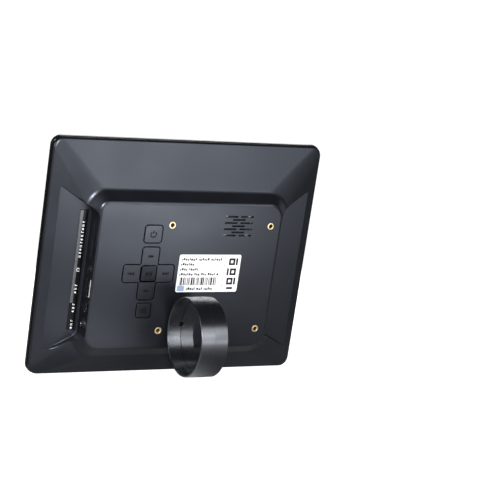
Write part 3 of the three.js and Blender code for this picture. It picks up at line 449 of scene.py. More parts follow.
def addRing(piece, inset, corner, depth, tight=0.0):
    # one rounded rectangle of edges, insets given as side, top and bottom
    # tight makes the corner above the ports smaller
    side, top, bottom = inset
    wide, low, high = halfWide - side, bottom, outline["height"] - top
    bpy.ops.mesh.select_all(action="DESELECT")
    bpy.ops.mesh.primitive_plane_add(
        size=1, location=(0, depth * mm, (low + high) / 2 * mm), rotation=(math.pi / 2, 0, 0))
    bpy.ops.transform.resize(value=(2 * wide * mm, 1, (high - low) * mm))
    bpy.ops.mesh.select_mode(type="VERT")
    above = lambda p: p.x > 0 and p.z > outline["height"] / 2
    for radius, chosen in ((corner, False), (corner - tight, True)):
        pickPoints(piece, lambda p: atDepth(depth, p) and above(p) == chosen
                   and abs(abs(p.x) - wide) < 0.01 and min(abs(p.z - low), abs(p.z - high)) < 0.01)
        bpy.ops.mesh.bevel(offset=radius * mm, segments=cover["cornerSteps"], affect="VERTICES")
    pickPoints(piece, lambda p: atDepth(depth, p))
    bpy.ops.mesh.delete(type="ONLY_FACE")


def coverInset(share, run):
    # how far a ring lies inside the outline, a share of the way up the slopes and a run beyond
    slope = [plateau[way] - plateau["step"] - outline["seam"] for way in ("side", "top", "bottom")]
    return [outline["seam"] + reach * share + run for reach in slope]


def bridgeRings(name, rings):
    # skin from ring to ring, then closed at both ends
    bpy.ops.mesh.primitive_plane_add(size=mm)
    piece = newPiece(name)
    startEdit(piece)
    pickAll()
    bpy.ops.mesh.delete(type="VERT")
    for ringSizes in rings:
        addRing(piece, *ringSizes)
    depths = [ringSizes[2] for ringSizes in rings]
    bpy.ops.mesh.select_mode(type="EDGE")
    for first, second in zip(depths, depths[1:]):
        pickEdges(piece, lambda a, b, angle: atDepth(first, a, b) or atDepth(second, a, b))
        bpy.ops.mesh.bridge_edge_loops()
    for depth in (depths[0], depths[-1]):
        pickEdges(piece, lambda a, b, angle: atDepth(depth, a, b))
        bpy.ops.mesh.edge_face_add()
    endEdit(outward=True)
    return piece


def softenRing(piece, depth, width, steps):
    # rounds all the edges that lie at one depth
    softenEdges(piece, lambda a, b, angle: atDepth(depth, a, b) and angle > 3, width, steps)


recess = {"floor": 9.6, "draft": 6.0, "top": 7.3, "bottom": 6.8, "topAngle": 31.0, "bottomAngle": 27.0,
          "corner": 3.6, "footRound": 0.5, "mouthRound": 0.9,
          "past": 4, "above": 3}  # how far the cutting block sticks out beyond the side and the back


def recessBlock(side, grow):
    # trapezium block beside the plateau whose walls lean outwards by the draft
    low, high = plateauLow + recess["bottom"] - grow, plateauHigh - recess["top"] + grow
    near, far = plateauX - grow, halfWide + recess["past"]
    block = addBox("recessBlock", [min(side * near, side * far), recess["floor"] - grow, low],
                   [max(side * near, side * far), backFace + recess["above"], high])
    lean = math.tan(math.radians(recess["draft"]))
    startEdit(block, "VERT")
    for isHigh in (True, False):
        angle = math.radians(recess["topAngle"] if isHigh else recess["bottomAngle"])
        way = 1 if isHigh else -1
        pickPoints(block, lambda p: abs(p.x) > halfWide and (p.z > plateauZ) == isHigh)
        shift(z=way * (far - near) * math.tan(angle))
    pickPoints(block, lambda p: p.y < backFace and abs(p.x) < halfWide)
    shift(x=side * (backFace - recess["floor"] + grow) * lean)
    pickPoints(block, lambda p: p.y > backFace and abs(p.x) < halfWide)
    shift(x=-side * recess["above"] * lean)
    bpy.ops.mesh.select_mode(type="EDGE")
    pickEdges(block, lambda a, b, angle: abs(a.x) < halfWide and abs(b.x) < halfWide and abs(a.y - b.y) > 5)
    bevelPicked(recess["corner"], 7)
    if not grow:
        pickEdges(block, lambda a, b, angle: max(a.y, b.y) < recess["floor"] + 0.01 and angle > 30)
        bevelPicked(recess["footRound"], 5)
    endEdit()
    return block


def creaseFloors(shell):
    # the flat floor of a recess ends in a crisp line where the slope runs out under it
    floor = recess["floor"]
    startEdit(shell, "EDGE")
    pickEdges(shell, lambda a, b, angle: angle > 2 and max(abs(a.y - floor), abs(b.y - floor)) < 0.03
              and min(abs(a.x), abs(b.x)) > plateauX + 8)
    bpy.ops.mesh.mark_sharp()
    endEdit()


def atMouth(p):
    # on the long edge where a recess breaks out through a slope
    run = abs(p.x) - plateauX
    high = plateauHigh - recess["top"] + run * math.tan(math.radians(recess["topAngle"]))
    low = plateauLow + recess["bottom"] - run * math.tan(math.radians(recess["bottomAngle"]))
    onSlope = run > plateau["step"] + 0.8 and p.y > recess["floor"] + 1.3
    return onSlope and min(abs(p.z - high), abs(p.z - low)) < 1.3


keyPad = {
    "x": plateauX - 39.6, "z": plateauZ + 2.25, "gap": 0.65, "okGap": 0.85, "span": 37.0, "arm": 12.15,
    "corner": 1.9, "innerCorner": 0.8, "reach": (21, 36),
    # each key: width, height, place above the middle of the pad, corner
    "power": (12.5, 12.0, 27.7, 1.9), "menu": (10.2, 9.9, -26.2, 1.6), "ok": (10.7, 10.4, 0.0, 1.5),
}


def keyBlock(name, key, grow, depths):
    wide, tall, offset, corner = keyPad[key]
    x, z = keyPad["x"], keyPad["z"] + offset
    block = addBox(name, [x - wide / 2 - grow, depths[0], z - tall / 2 - grow],
                   [x + wide / 2 + grow, depths[1], z + tall / 2 + grow])
    roundCorners(block, corner + grow, 6)
    return block


def crossBlock(name, grow, depths):
    # plus shape: a square block whose four sides are drawn out
    x, z, arm, tip = keyPad["x"], keyPad["z"], keyPad["arm"] / 2 + grow, keyPad["span"] / 2 + grow
    block = addBox(name, [x - arm, depths[0], z - arm], [x + arm, depths[1], z + arm])
    startEdit(block)
    for way in ((1, 0), (-1, 0), (0, 1), (0, -1)):
        pickFaces(block, lambda c, n: n.x * way[0] + n.z * way[1] > 0.9
                  and abs((c.x - x) * way[1]) + abs((c.z - z) * way[0]) < 0.1)
        bpy.ops.mesh.extrude_region_move(
            TRANSFORM_OT_translate={"value": Vector((way[0], 0, way[1])) * (tip - arm) * mm})
    bpy.ops.mesh.select_mode(type="EDGE")
    out = lambda p: max(abs(p.x - x), abs(p.z - z)) > arm + 0.5
    pickEdges(block, lambda a, b, angle: abs(a.y - b.y) > 0.5 and out(a) and angle > 30)
    bevelPicked(keyPad["corner"] + grow, 6)
    pickEdges(block, lambda a, b, angle: abs(a.y - b.y) > 0.5 and not out(a) and angle > 30)
    bevelPicked(max(keyPad["innerCorner"] - grow, 0.2), 4)
    endEdit()
    return block


grille = {"x": -34.6, "z": plateauHigh - 15.1, "long": 9.7, "tall": 1.15, "pitch": 2.22, "columns": 11.95,
          "rows": 7, "reach": (12, 9)}


def grilleBlocks():
    # one slot, copied into seven rows of two and one by turns
    slots = []
    for row in range(grille["rows"]):
        z = grille["z"] + (row - (grille["rows"] - 1) / 2) * grille["pitch"]
        for x in ([0] if row % 2 else [-grille["columns"] / 2, grille["columns"] / 2]):
            if not slots:
                slot = addBox("slot", [-grille["long"] / 2, backFace - 4, -grille["tall"] / 2],
                              [grille["long"] / 2, backFace + 2, grille["tall"] / 2])
                roundCorners(slot, grille["tall"] * 0.45, 4)
            else:
                slot = copyPiece(slots[0])
            slot.location = ((grille["x"] + x) * mm, 0, z * mm)
            slots.append(slot)
    return [settle(slot) for slot in slots]


ports = {
    # height above the plateau's middle, depth from the glass, length and height or radius
    "card": (24.9, 18.7, 27.7, 2.8), "phone": (4.25, 17.7, 2.9), "usb": (-9.15, 17.35, 13.7, 6.3),
    "mini": (-22.65, 18.55, 8.3, 4.3), "power": (-34.25, 17.05, 4.0),
}


def portBlocks():
    blocks = []
    for at, depth, *size in ports.values():
        z, start, end = plateauZ + at, plateauX - 3.5, plateauX + 4
        if len(size) == 1:
            blocks.append(addDrum("hole", size[0], (start, depth, z), (end, depth, z)))
        else:
            long, tall = size
            block = addBox("hole", [start, depth - tall / 2, z - long / 2],
                           [end, depth + tall / 2, z + long / 2])
            roundCorners(block, 0.6, 4, axis=0)
            blocks.append(block)
    return blocks


wallMounts = {"x": -22.4, "z": plateauZ - 1.3, "pitch": 75.0, "radius": 2.6, "bore": 1.4, "length": 6.0,
              "gap": 0.15}
halfPitch = wallMounts["pitch"] / 2
mountPlaces = [(wallMounts["x"] + across * halfPitch, wallMounts["z"] + up * halfPitch)
               for across in (-1, 1) for up in (-1, 1)]
standZ = 41.078  # the stud's height up the back, which brings ring and bezel down on one table


def makeCover():
    seam, rim, shoulder = cover["seamDepth"], cover["rimDepth"], cover["shoulderDepth"]
    wide, step = cover["shoulderCorner"], plateau["step"]
    slopeDepth = rim + (shoulder - rim) * cover["rimShare"]
    rings = []
    for count in range(cover["rimSteps"] + 1):  # the rim curls over from its side into the slope
        t = count / cover["rimSteps"]
        share = cover["rimShare"] * t * t
        rings.append((coverInset(share, 0), cover["rimCorner"] + (wide - cover["rimCorner"]) * share,
                      (1 - t) ** 2 * seam + 2 * t * (1 - t) * rim + t * t * slopeDepth))
    shell = bridgeRings("rearCover", rings + [
        (coverInset(1, 0), wide, shoulder, cover["tighter"]),
        (coverInset(1, step), wide - step, backFace, cover["tighter"]),
    ])
    softenRing(shell, backFace, cover["plateauRound"], 8)
    softenRing(shell, shoulder, cover["shoulderFillet"], 6)
    wall, inner = cover["wall"], backFace - cover["wall"]
    outerRun, innerRun = cover["innerStep"]
    hollow = bridgeRings("hollow", [
        (coverInset(0, 0), cover["rimCorner"], cover["hollowStart"]),
        (coverInset(0, 0), cover["rimCorner"], cover["hollowMouth"]),
        (coverInset(1, outerRun), wide - outerRun, shoulder - cover["underShoulder"]),
        (coverInset(1, innerRun), wide - innerRun, inner),
    ])
    carve(hollow, [recessBlock(1, wall), recessBlock(-1, wall)])
    carve(shell, [recessBlock(1, 0), recessBlock(-1, 0)])
    carve(shell, [hollow])
    through = (inner - 0.5, backFace + 2)
    bores = [(wallMounts["radius"] + wallMounts["gap"], x, z) for x, z in mountPlaces]
    bores.append((cover["standHole"], 0, standZ))
    holes = [addDrum("hole", radius, (x, inner - 4, z), (x, backFace + 2, z)) for radius, x, z in bores]
    holes += [keyBlock("hole", key, keyPad["gap"], through) for key in ("power", "menu")]
    holes.append(crossBlock("hole", keyPad["gap"], through))
    carve(shell, holes + grilleBlocks() + portBlocks())
    cleanUp(shell)
    for group, width, steps in ((keyPad, cover["keyEdge"], 3), (grille, cover["slotEdge"], 2)):
        wide, tall = group["reach"]
        inGroup = lambda p: abs(p.x - group["x"]) < wide and abs(p.z - group["z"]) < tall
        softenEdges(shell, lambda a, b, angle: angle > 60 and atDepth(backFace, a, b)
                    and inGroup(a) and inGroup(b), width, steps)
    softenEdges(shell, lambda a, b, angle: angle > 60 and atMouth(a) and atMouth(b), recess["mouthRound"], 4,
                clamp=False)
    cleanUp(shell)
    creaseFloors(shell)
    return finishPiece(shell, "housing", satinPlastic, ["rear_cover"])


makeCover()
print("rear cover modelled")


# Front bezel

bezel = {"depth": 4.2, "front": 2.2, "wall": 2.0, "edge": 1.52, "rearEdge": 0.3, "corner": 7.0,
         "window": (163.0, 122.5), "windowCorner": 0.8, "windowBevel": 0.6,
         "lip": (1.1, 2.0, 3.9, 5.9)}  # the lip's outer and inner inset, and from where to where it reaches


def bezelBlock(name, inset, low, high, steps=12):
    # the outline's rounded block, a step further in, from one depth to another
    block = addBox(name, [inset - halfWide, low, inset], [halfWide - inset, high, outline["height"] - inset])
    roundCorners(block, bezel["corner"] - inset, steps)
    return block


def makeBezel():
    body = bezelBlock("frontBezel", 0, 0, bezel["depth"], 14)
    softenRing(body, 0, bezel["edge"], 8)
    wide, high = (size / 2 for size in bezel["window"])
    middle = outline["height"] / 2
    opening = addBox("opening", [-wide, -1, middle - high], [wide, bezel["depth"], middle + high])
    roundCorners(opening, bezel["windowCorner"], 4)
    carve(body, [bezelBlock("pocket", bezel["wall"], bezel["front"], bezel["depth"] + 2), opening])
    softenEdges(body, lambda a, b, angle: max(a.y, b.y) < 0.01 and abs(a.x) < wide + 1
                and abs(a.z - middle) < high + 1 and angle > 30, bezel["windowBevel"], 2)
    softenRing(body, bezel["depth"], bezel["rearEdge"], 4)
    # a lip reaches into the rear cover and closes the seam
    outer, inner, low, high = bezel["lip"]
    lip = bezelBlock("lip", outer, low, high)
    carve(lip, [bezelBlock("middle", inner, low - 1, high + 1)])
    carve(body, [lip], "UNION")
    cleanUp(body)
    return finishPiece(body, "housing", glossPlastic, ["front_bezel"])


makeBezel()
print("front bezel modelled")


# Display

panel = {"wide": 181.6, "tall": 139.6, "front": 2.5, "thick": 1.4, "corner": 1.2}


def makePanel():
    wide, tall, middle = panel["wide"] / 2, panel["tall"] / 2, outline["height"] / 2
    glass = addBox("displayPanel", [-wide, panel["front"], middle - tall],
                   [wide, panel["front"] + panel["thick"], middle + tall])
    roundCorners(glass, panel["corner"], 5)
    softenRing(glass, panel["front"], 0.1, 2)
    return finishPiece(glass, "housing", panelGlass, ["lcd_glass"])


makePanel()
print("display modelled")


# Keys with sunk symbols

keyLook = {"proud": 0.25, "okProud": 0.75, "edge": 0.3, "sunk": 0.3, "rim": 1.1, "stroke": 0.75,
           "footLow": 18.6, "flange": (19.4, 20.2), "okFlange": (20.2, 21.0), "padFlange": (19.071, 19.871),
           "capLow": 20.0, "okCapLow": 20.8, "foot": 1.7, "padFoot": 1.5, "plate": 9.5, "skips": (12.0, 12.2)}


def symbolBar(x, z, wide, tall, top):
    return addBox("mark", [x - wide / 2, top - keyLook["sunk"], z - tall / 2],
                  [x + wide / 2, top + 0.5, z + tall / 2])


def symbolTriangle(x, z, size, way, top):
    # three-sided block, turned so that one corner points along x
    mark = addDrum("mark", size, (0, top - keyLook["sunk"], 0), (0, top + 0.5, 0), sides=3)
    corner = max((point.co for point in mark.data.vertices), key=lambda c: c.length)
    mark.rotation_euler.y = way * math.pi / 2 - math.atan2(corner.x, corner.z)
    return settleAt(mark, x, z)


def symbolArc(x, z, radius, gap, top):
    # a short block spun most of the way round, with the gap at the top
    half = keyLook["stroke"] / 2
    ring = addBox("mark", [-0.02, top - keyLook["sunk"], radius - half], [0, top + 0.5, radius + half])
    startEdit(ring)
    pickFaces(ring, lambda c, n: n.x < -0.9)
    bpy.ops.mesh.spin(steps=30, angle=math.radians(360 - gap), center=(0, 0, 0), axis=(0, 1, 0))
    endEdit(outward=True)
    ring.rotation_euler.y = -math.radians(gap / 2)
    return settleAt(ring, x, z)


def skipMark(x, z, way, top, bar=True):
    # two triangles one after the other, and a bar at the end that they point to
    marks = [symbolTriangle(x + way * along, z, 1.4, way, top) for along in (-0.9, 1.1)]
    if bar:
        marks.append(symbolBar(x + way * 2.75, z, 0.55, 2.4, top))
    return marks


def darkenSymbolFloors(key, top):
    # the floors of the sunk symbols are painted darker: painted shade in the hollows
    key.data.materials.append(symbolShade)
    startEdit(key)
    back = lambda c: (Matrix.Rotation(leanAngle, 3, "X") @ (c * mm - foot)) / mm
    pickFaces(key, lambda c, n: abs(back(c).y - top + keyLook["sunk"]) < 0.03)
    key.active_material_index = 1
    bpy.ops.object.material_slot_assign()
    endEdit()
    return key


def makeKey(key, name, node, top, capLow, flange, rim, marks, material=keyPlastic):
    cap = keyBlock(name, key, 0, (capLow, top))
    softenRing(cap, top, keyLook["edge"], 4)
    x, z = keyPad["x"], keyPad["z"] + keyPad[key][2]
    rest = [keyBlock("flange", key, rim, flange),
            addBox("foot", [x - keyLook["foot"], keyLook["footLow"], z - keyLook["foot"]],
                   [x + keyLook["foot"], flange[0] + 0.2, z + keyLook["foot"]])]
    carve(cap, rest, "UNION")
    carve(cap, marks)
    cleanUp(cap)
    return darkenSymbolFloors(finishPiece(cap, node, material, [node]), top)


def makeArrowPad():
    x, z, top = keyPad["x"], keyPad["z"], backFace + keyLook["proud"]
    low, high = keyLook["padFlange"]
    pad = crossBlock("arrowButton", 0, (high - 0.2, top))
    softenRing(pad, top, keyLook["edge"], 4)
    reach = (keyPad["span"] / 2 + keyPad["ok"][0] / 2) / 2
    rest = [crossBlock("flange", keyLook["rim"], (low, high))]
    half, foot = keyLook["plate"], keyLook["padFoot"]
    plate = addBox("plate", [x - half, low, z - half], [x + half, high, z + half])
    roundCorners(plate, 2.0, 4)
    rest.append(plate)
    for across, up in ((1, 0), (-1, 0), (0, 1), (0, -1)):
        rest.append(addBox("foot", [x + across * reach - foot, keyLook["footLow"], z + up * reach - foot],
                           [x + across * reach + foot, low + 0.2, z + up * reach + foot]))
    carve(pad, rest, "UNION")
    carve(pad, [keyBlock("hole", "ok", keyPad["okGap"], (low - 1, backFace + 2)),
                keyBlock("hole", "ok", keyLook["rim"] + 0.3, (low - 1, backFace - 1.2))])
    across, up = keyLook["skips"]
    marks = skipMark(x + across, z, 1, top) + skipMark(x - across, z, -1, top)
    marks += skipMark(x, z + up, -1, top, bar=False) + skipMark(x, z - up, 1, top, bar=False)
    carve(pad, marks)
    softenEdges(pad, lambda a, b, angle: min(a.y, b.y) > top - 0.01 and angle > 60
                and max(abs(a.x - x), abs(a.z - z), abs(b.x - x), abs(b.z - z)) < 6.2, 0.2, 3)
    cleanUp(pad)
    return darkenSymbolFloors(finishPiece(pad, "arrow_pad", keyPlastic, ["arrow_pad"]), top)


def makeKeys():
    x, z, top = keyPad["x"], keyPad["z"], backFace + keyLook["proud"]
    flange = keyLook["flange"]
    powerZ, menuZ, okTop = z + keyPad["power"][2], z + keyPad["menu"][2], backFace + keyLook["okProud"]
    makeKey("power", "powerButton", "power_key", top, keyLook["capLow"], flange, keyLook["rim"],
            [symbolArc(x, powerZ - 0.1, 2.0, 70, top),
             symbolBar(x, powerZ + 1.35, keyLook["stroke"], 2.3, top)])
    makeKey("menu", "menuButton", "menu_key", top, keyLook["capLow"], flange, keyLook["rim"],
            [symbolBar(x, menuZ + row * 1.25, 4.6, 0.55, top) for row in (-1, 0, 1)])
    makeKey("ok", "playButton", "ok_key", okTop, keyLook["okCapLow"], keyLook["okFlange"],
            keyLook["rim"] - 0.3,
            [symbolTriangle(x + 1.1, z, 1.7, -1, okTop), symbolBar(x - 0.9, z, 0.65, 2.9, okTop),
             symbolBar(x - 2.1, z, 0.65, 2.9, okTop)], okPlastic)
    makeArrowPad()


makeKeys()
print("keys modelled")


# Brass inserts and the stud of the stand

def insertProfile(radius, bore, length):
    # collar with two knurled bands and a groove between them
    low, high = backFace - length, backFace
    groove, sleeve = (low + high) / 2, bore + 0.36
    profile = [(bore + 0.3, high), (bore, high - 0.3), (bore, high - 0.45), (sleeve, high - 0.5),
               (sleeve, low), (radius - 0.1, low), (radius, low + 0.15), (radius, groove - 0.5),
               (radius - 0.35, groove - 0.3), (radius - 0.35, groove + 0.3), (radius, groove + 0.5),
               (radius, high - 0.45), (radius - 0.1, high - 0.2), (radius - 0.25, high - 0.06),
               (radius - 0.5, high), (bore + 0.3, high)]
    return [(r, y, 0) for r, y in profile]


def threadProfile(bore, length):
    # thread cut into the collar's bore
    low, high = backFace - length + 0.1, backFace - 0.52
    pitch, tooth = 0.5, 0.16
    profile = [(bore + 0.34, high), (bore, high)]
    for turn in range(int((length - 1.2) / pitch)):
        y = high - 0.1 - turn * pitch
        profile += [(bore - tooth / 2, y - pitch * 0.1), (bore - tooth / 2, y - pitch * 0.25),
                    (bore + tooth, y - pitch * 0.6), (bore + tooth, y - pitch * 0.75)]
    profile += [(bore, low), (bore + 0.34, low), (bore + 0.34, high)]
    return [(r, y, 0) for r, y in profile]


def makeFour(first, material, node=None):
    # one at each place of the wall mount, with its own mesh
    name = first.name
    copies = [first] + [copyPiece(first) for number in range(3)]
    for number, (copy, (x, z)) in enumerate(zip(copies, mountPlaces), 1):
        copy.name = name + str(number)
        replaced = [node + str(number)] if node else ()
        finishPiece(settleAt(copy, x, z), "housing", material, replaced, smooth=28)


def makeInserts():
    radius, bore, length = (wallMounts[key] for key in ("radius", "bore", "length"))
    around = ((0, 0, 0), (0, 1, 0))
    body = turnedPiece("wallInsert", insertProfile(radius, bore, length), around, 40)
    makeFour(body, brassMetal, "wall_insert_")
    # the threads are painted near black: painted shade down the bores
    makeFour(turnedPiece("insertThread", threadProfile(bore, length), around, 32), boreShade)


stud = {"radius": 1.5, "low": 17.5, "high": 24.4, "socket": 0.95, "sunk": 2.0, "pitch": 0.5}


def makeStud():
    core = stud["radius"] - 0.22
    low, high = stud["low"], stud["high"]
    profile = [(0, low), (core, low)]
    for turn in range(int((high - low - 1.0) / stud["pitch"])):
        y = low + 0.3 + turn * stud["pitch"]
        profile += [(core, y), (stud["radius"], y + 0.2), (stud["radius"], y + 0.28), (core, y + 0.46)]
    profile += [(stud["radius"] - 0.05, high - 0.5), (stud["radius"] - 0.05, high - 0.25),
                (stud["radius"] - 0.3, high), (0, high)]
    bar = turnedPiece("standStud", [(r, y, standZ) for r, y in profile], ((0, 0, standZ), (0, 1, 0)), 36)
    socket = addDrum("socket", stud["socket"], (0, high - stud["sunk"], standZ), (0, high + 1, standZ), 6)
    carve(bar, [socket])
    cleanUp(bar)
    # the stud is painted near black: painted shade down the hole
    return finishPiece(bar, "stand", studShade, ["stand_stud"], smooth=28)


makeInserts()
makeStud()
print("inserts and stud modelled")


# Ring stand

ring = {"radius": 27.0, "wall": 1.8, "width": 19.6, "draft": 0.15, "edge": 0.45, "standOff": 1.8, "boss": 5.5,
        "hole": 1.65, "holeRound": 0.55, "parting": 0.09, "innerParting": (0.24, 0.7)}


def makeRing():
    # the mould parts half way across: a fine step runs round there, inside and out
    half, outer, inner = ring["width"] / 2, ring["radius"], ring["radius"] - ring["wall"]
    middleY, gap, draft = backFace + ring["standOff"] + outer, ring["parting"], ring["draft"]
    cut, depth = ring["innerParting"]
    profile = [(-half, inner + draft), (-cut, inner), (0, inner + depth), (cut, inner), (half, inner + draft),
               (half, outer - draft), (gap, outer), (0, outer - gap), (-gap, outer), (-half, outer - draft),
               (-half, inner + draft)]
    band = turnedPiece("standRing", [(across, middleY, standZ + r) for across, r in profile],
                       ((0, middleY, standZ), (1, 0, 0)), 144)
    softenEdges(band, lambda a, b, angle: abs(abs(a.x) - half) < 0.01 and abs(abs(b.x) - half) < 0.01
                and angle > 45, ring["edge"], 4)
    boss = addDrum("boss", ring["boss"], (0, backFace + 0.3, standZ),
                   (0, backFace + ring["standOff"] + 1, standZ))
    softenRing(boss, backFace + 0.3, 0.25, 2)
    carve(band, [boss], "UNION")
    carve(band, [addDrum("hole", ring["hole"], (0, backFace - 1, standZ),
                         (0, backFace + ring["standOff"] + ring["wall"] + 2, standZ), 32)])
    cleanUp(band)
    atHole = lambda p: abs(math.hypot(p.x, p.z - standZ) - ring["hole"]) < 0.02 and p.y > backFace + 3
    softenEdges(band, lambda a, b, angle: atHole(a) and atHole(b) and angle > 50, ring["holeRound"], 4)
    return finishPiece(band, "stand", ringPlastic, ["stand_ring"])


makeRing()
print("ring stand modelled")


# Rating label, with plain marks in place of print

label = {"wide": 46.8, "tall": 26.7, "x": -16.8, "z": plateauZ + 2.35, "low": backFace + 0.05, "thick": 0.15,
         "corner": 1.2, "ink": 0.02, "divider": 34.6}


def finishInk(piece, name, material):
    piece.name = name
    return finishPiece(piece, "housing", material, weighted=False)


def makeLabel():
    wide, tall, x, z = label["wide"] / 2, label["tall"] / 2, label["x"], label["z"]
    top = label["low"] + label["thick"]
    film = addBox("ratingLabel", [x - wide, label["low"], z - tall], [x + wide, top, z + tall])
    roundCorners(film, label["corner"], 5)
    finishPiece(film, "housing", paperWhite, ["rating_label"])

    def block(left, bottom, width, height):
        # measured from the label's lower left corner as it is read from behind
        right = x + wide - left
        return addBox("ink", [right - width, top - 0.01, z - tall + bottom],
                      [right, top + label["ink"], z - tall + bottom + height])

    words = []
    lines = ((22.3, 1.7, 32.6, (7, 13, 20)), (18.8, 1.6, 10.8, ()), (15.2, 1.5, 14.6, (3,)),
             (11.7, 1.4, 31.0, (6, 9, 12, 16)), (1.3, 7.8, 28.2, (4, 7)))
    for bottom, start, end, spaces in lines:  # each line's height, its two ends and where words end
        left, count = start, 0
        while left < end:  # one small block for each sign of a line of print, uneven like print
            width = 0.75 + 0.22 * (count * 3 % 4)
            words.append(block(left, bottom + 0.15 * (count * 5 % 3), width, 1.35 + 0.2 * (count * 2 % 3)))
            left += width + (1.3 if count in spaces else 0.38)
            count += 1
    finishInk(joinUp(words), "labelWords", inkGrey)
    bars, left, count = [], 2.2, 0
    while left < 30.6:
        width = (0.35, 0.9, 0.35, 0.55, 1.25, 0.35, 0.55)[count * 4 % 7]
        bars.append(block(left, 4.9, width, 5.6))
        left += width + (0.3, 0.42, 0.7)[count * 2 % 3]
        count += 1
    finishInk(joinUp(bars), "labelBars", inkBlack)
    middle = label["divider"] + (label["wide"] - label["divider"]) / 2 + 0.3
    side = [block(label["divider"], 1.0, 0.3, label["tall"] - 2.0), block(middle - 2.4, 1.8, 4.6, 1.6)]
    for bottom, way in ((19.2, 1), (11.9, -1), (5.2, 1)):
        # bold plain signs: an open square with a bar beside it
        left = middle - 3.1 if way > 0 else middle - 1.5
        side += [block(left, bottom, 4.6, 1.5), block(left, bottom + 3.5, 4.6, 1.5),
                 block(left, bottom, 1.5, 5.0), block(left + 3.3, bottom, 1.5, 5.0),
                 block(left + (5.4 if way > 0 else -2.3), bottom, 1.5, 5.0)]
    finishInk(joinUp(side), "labelMarks", inkBlack)
    finishInk(block(0.9, 0.7, 5.4, 3.7), "labelPatch", inkBlue)
    finishInk(joinUp([block(1.9, 4.0, 0.8, 0.7), block(3.7, 4.0, 0.8, 0.7)]), "labelDots", inkBlack)


makeLabel()
print("label modelled")


# Port strip and its signs

strip = {"left": 71.4, "wide": 5.7, "low": 32.9, "high": 116.7, "base": 9.65, "thick": 0.15, "ink": 0.02,
         "signs": 2.38, "signsX": -0.3, "phoneDrop": 3.4, "band": 2.052, "bandX": 1.71, "bandLow": 19.0}
# small plain signs that stand in for print: blocks as height, width, length and shift across
signShapes = [[(0, 1.7, 0.45, 0), (0.45, 0.5, 0.6, 0.6)], [(0.4, 1.6, 0.4, 0), (-0.4, 1.6, 0.4, 0)],
              [(0, 1.2, 1.1, 0)]]
phoneSign = [(0, 0.45, 1.9, 0.7), (1, 1.3, 0.4, 0), (-1, 1.3, 0.4, 0), (0.8, 0.5, 0.6, -0.7),
             (-0.8, 0.5, 0.6, -0.7)]
socketGlint = {"low": (67.6, 19.4), "high": (68.22, 20.35), "long": 12.0, "corner": 0.42}


def stripBlock(z, across, length, shiftX, lift=1):
    # a mark at a height above the plateau's middle, so much across the strip and along it
    x, z = strip["left"] + strip["wide"] / 2 + shiftX, plateauZ + z
    top = strip["base"] + strip["thick"]
    return addBox("ink", [x - across / 2, top - 0.01, z - length / 2],
                  [x + across / 2, top + strip["ink"] * lift, z + length / 2])


def stripSign(z, blocks):
    return [stripBlock(z + up, across, length, strip["signsX"] + shiftX)
            for up, across, length, shiftX in blocks]


def makeStrip():
    top = strip["base"] + strip["thick"]
    film = addBox("portStrip", [strip["left"], strip["base"], strip["low"]],
                  [strip["left"] + strip["wide"], top, strip["high"]])
    softenRing(film, top, 0.05, 2)
    finishPiece(film, "housing", stripFilm, ["port_strip"])
    # a lighter grey band down the strip's outer part: a painted reflection on the glossy film
    bandLow, reflectionHigh = strip["low"] + strip["bandLow"], strip["high"] - 0.5
    middle = (bandLow + reflectionHigh) / 2 - plateauZ
    band = stripBlock(middle, strip["band"], reflectionHigh - bandLow, strip["bandX"], 0.5)
    finishInk(band, "portReflection", reflectionGrey)
    marks = stripSign(ports["phone"][0] - strip["phoneDrop"], phoneSign)
    for port, count, drop in (("card", 11, 2.9), ("usb", 3, 3.4), ("mini", 3, 3.4), ("power", 3, 3.4)):
        for each in range(count):
            z = ports[port][0] - drop + (count - 1 - 2 * each) * strip["signs"] / 2
            marks += stripSign(z, signShapes[each % 3])
    finishInk(joinUp(marks), "portMarks", inkWhite)


def makeSocketGlint():
    # white strip along the socket's mouth: a painted highlight for the glint of the shell's edge beside the
    # plateau
    z, half = plateauZ + ports["usb"][0], socketGlint["long"] / 2
    lip = addBox("socketGlint", [*socketGlint["low"], z - half], [*socketGlint["high"], z + half])
    roundCorners(lip, socketGlint["corner"], 4, axis=0)
    return finishPiece(lip, "housing", whitePlastic)


makeStrip()
makeSocketGlint()
print("port strip modelled")


# Floor, light and camera

stageSet = {"white": 1.0, "fill": 0.04, "behind": 1.1}
pools = {
    # place on the sheet, inner and outer radius, strength at each
    "underFrame": (0.0, 0.04, 0.04, 0.10, 0.0, 0.15), "underFrameEnd": (0.0, 0.04, 0.12, 0.2, 0.0, -0.15),
    "farGlow": (-0.25, 1.0, 0.35, 0.75, 0.35, 0.0),
    "beforeKeys": (-0.01, 0.14, 0.0, 0.10, 1.15, 0.0), "beforeLabel": (-0.07, 0.23, 0.0, 0.125, 9.3, 0.0),
    "beforeGrille": (-0.2, 0.23, 0.0, 0.13, 1.2, 0.0), "beforePorts": (0.045, 0.03, 0.0, 0.06, 1.4, 0.0),
    "farSide": (-0.15, 0.12, 0.0, 0.08, 0.15, 0.0),
    "besideSlope": (0.095, 0.13, 0.0, 0.07, -0.3, 0.0), "beyondCorner": (-0.08, 0.55, 0.0, 0.28, 0.3, 0.0),
}


def addSheet(name, depth, grey):
    bpy.ops.mesh.primitive_plane_add(size=14, location=(0, 0, depth))
    sheet = bpy.context.active_object
    sheet.name = name
    finish = newFinish(name)
    addSpread(finish, "Roughness", 2, 0.6, 0.7)
    setInputs(finish.shader, {"Base Color": (grey, grey, grey, 1), "Specular IOR Level": 0.3,
                              "Emission Color": (1, 1, 1, 1)})
    sheet.data.materials.append(finish.material)
    return sheet, finish


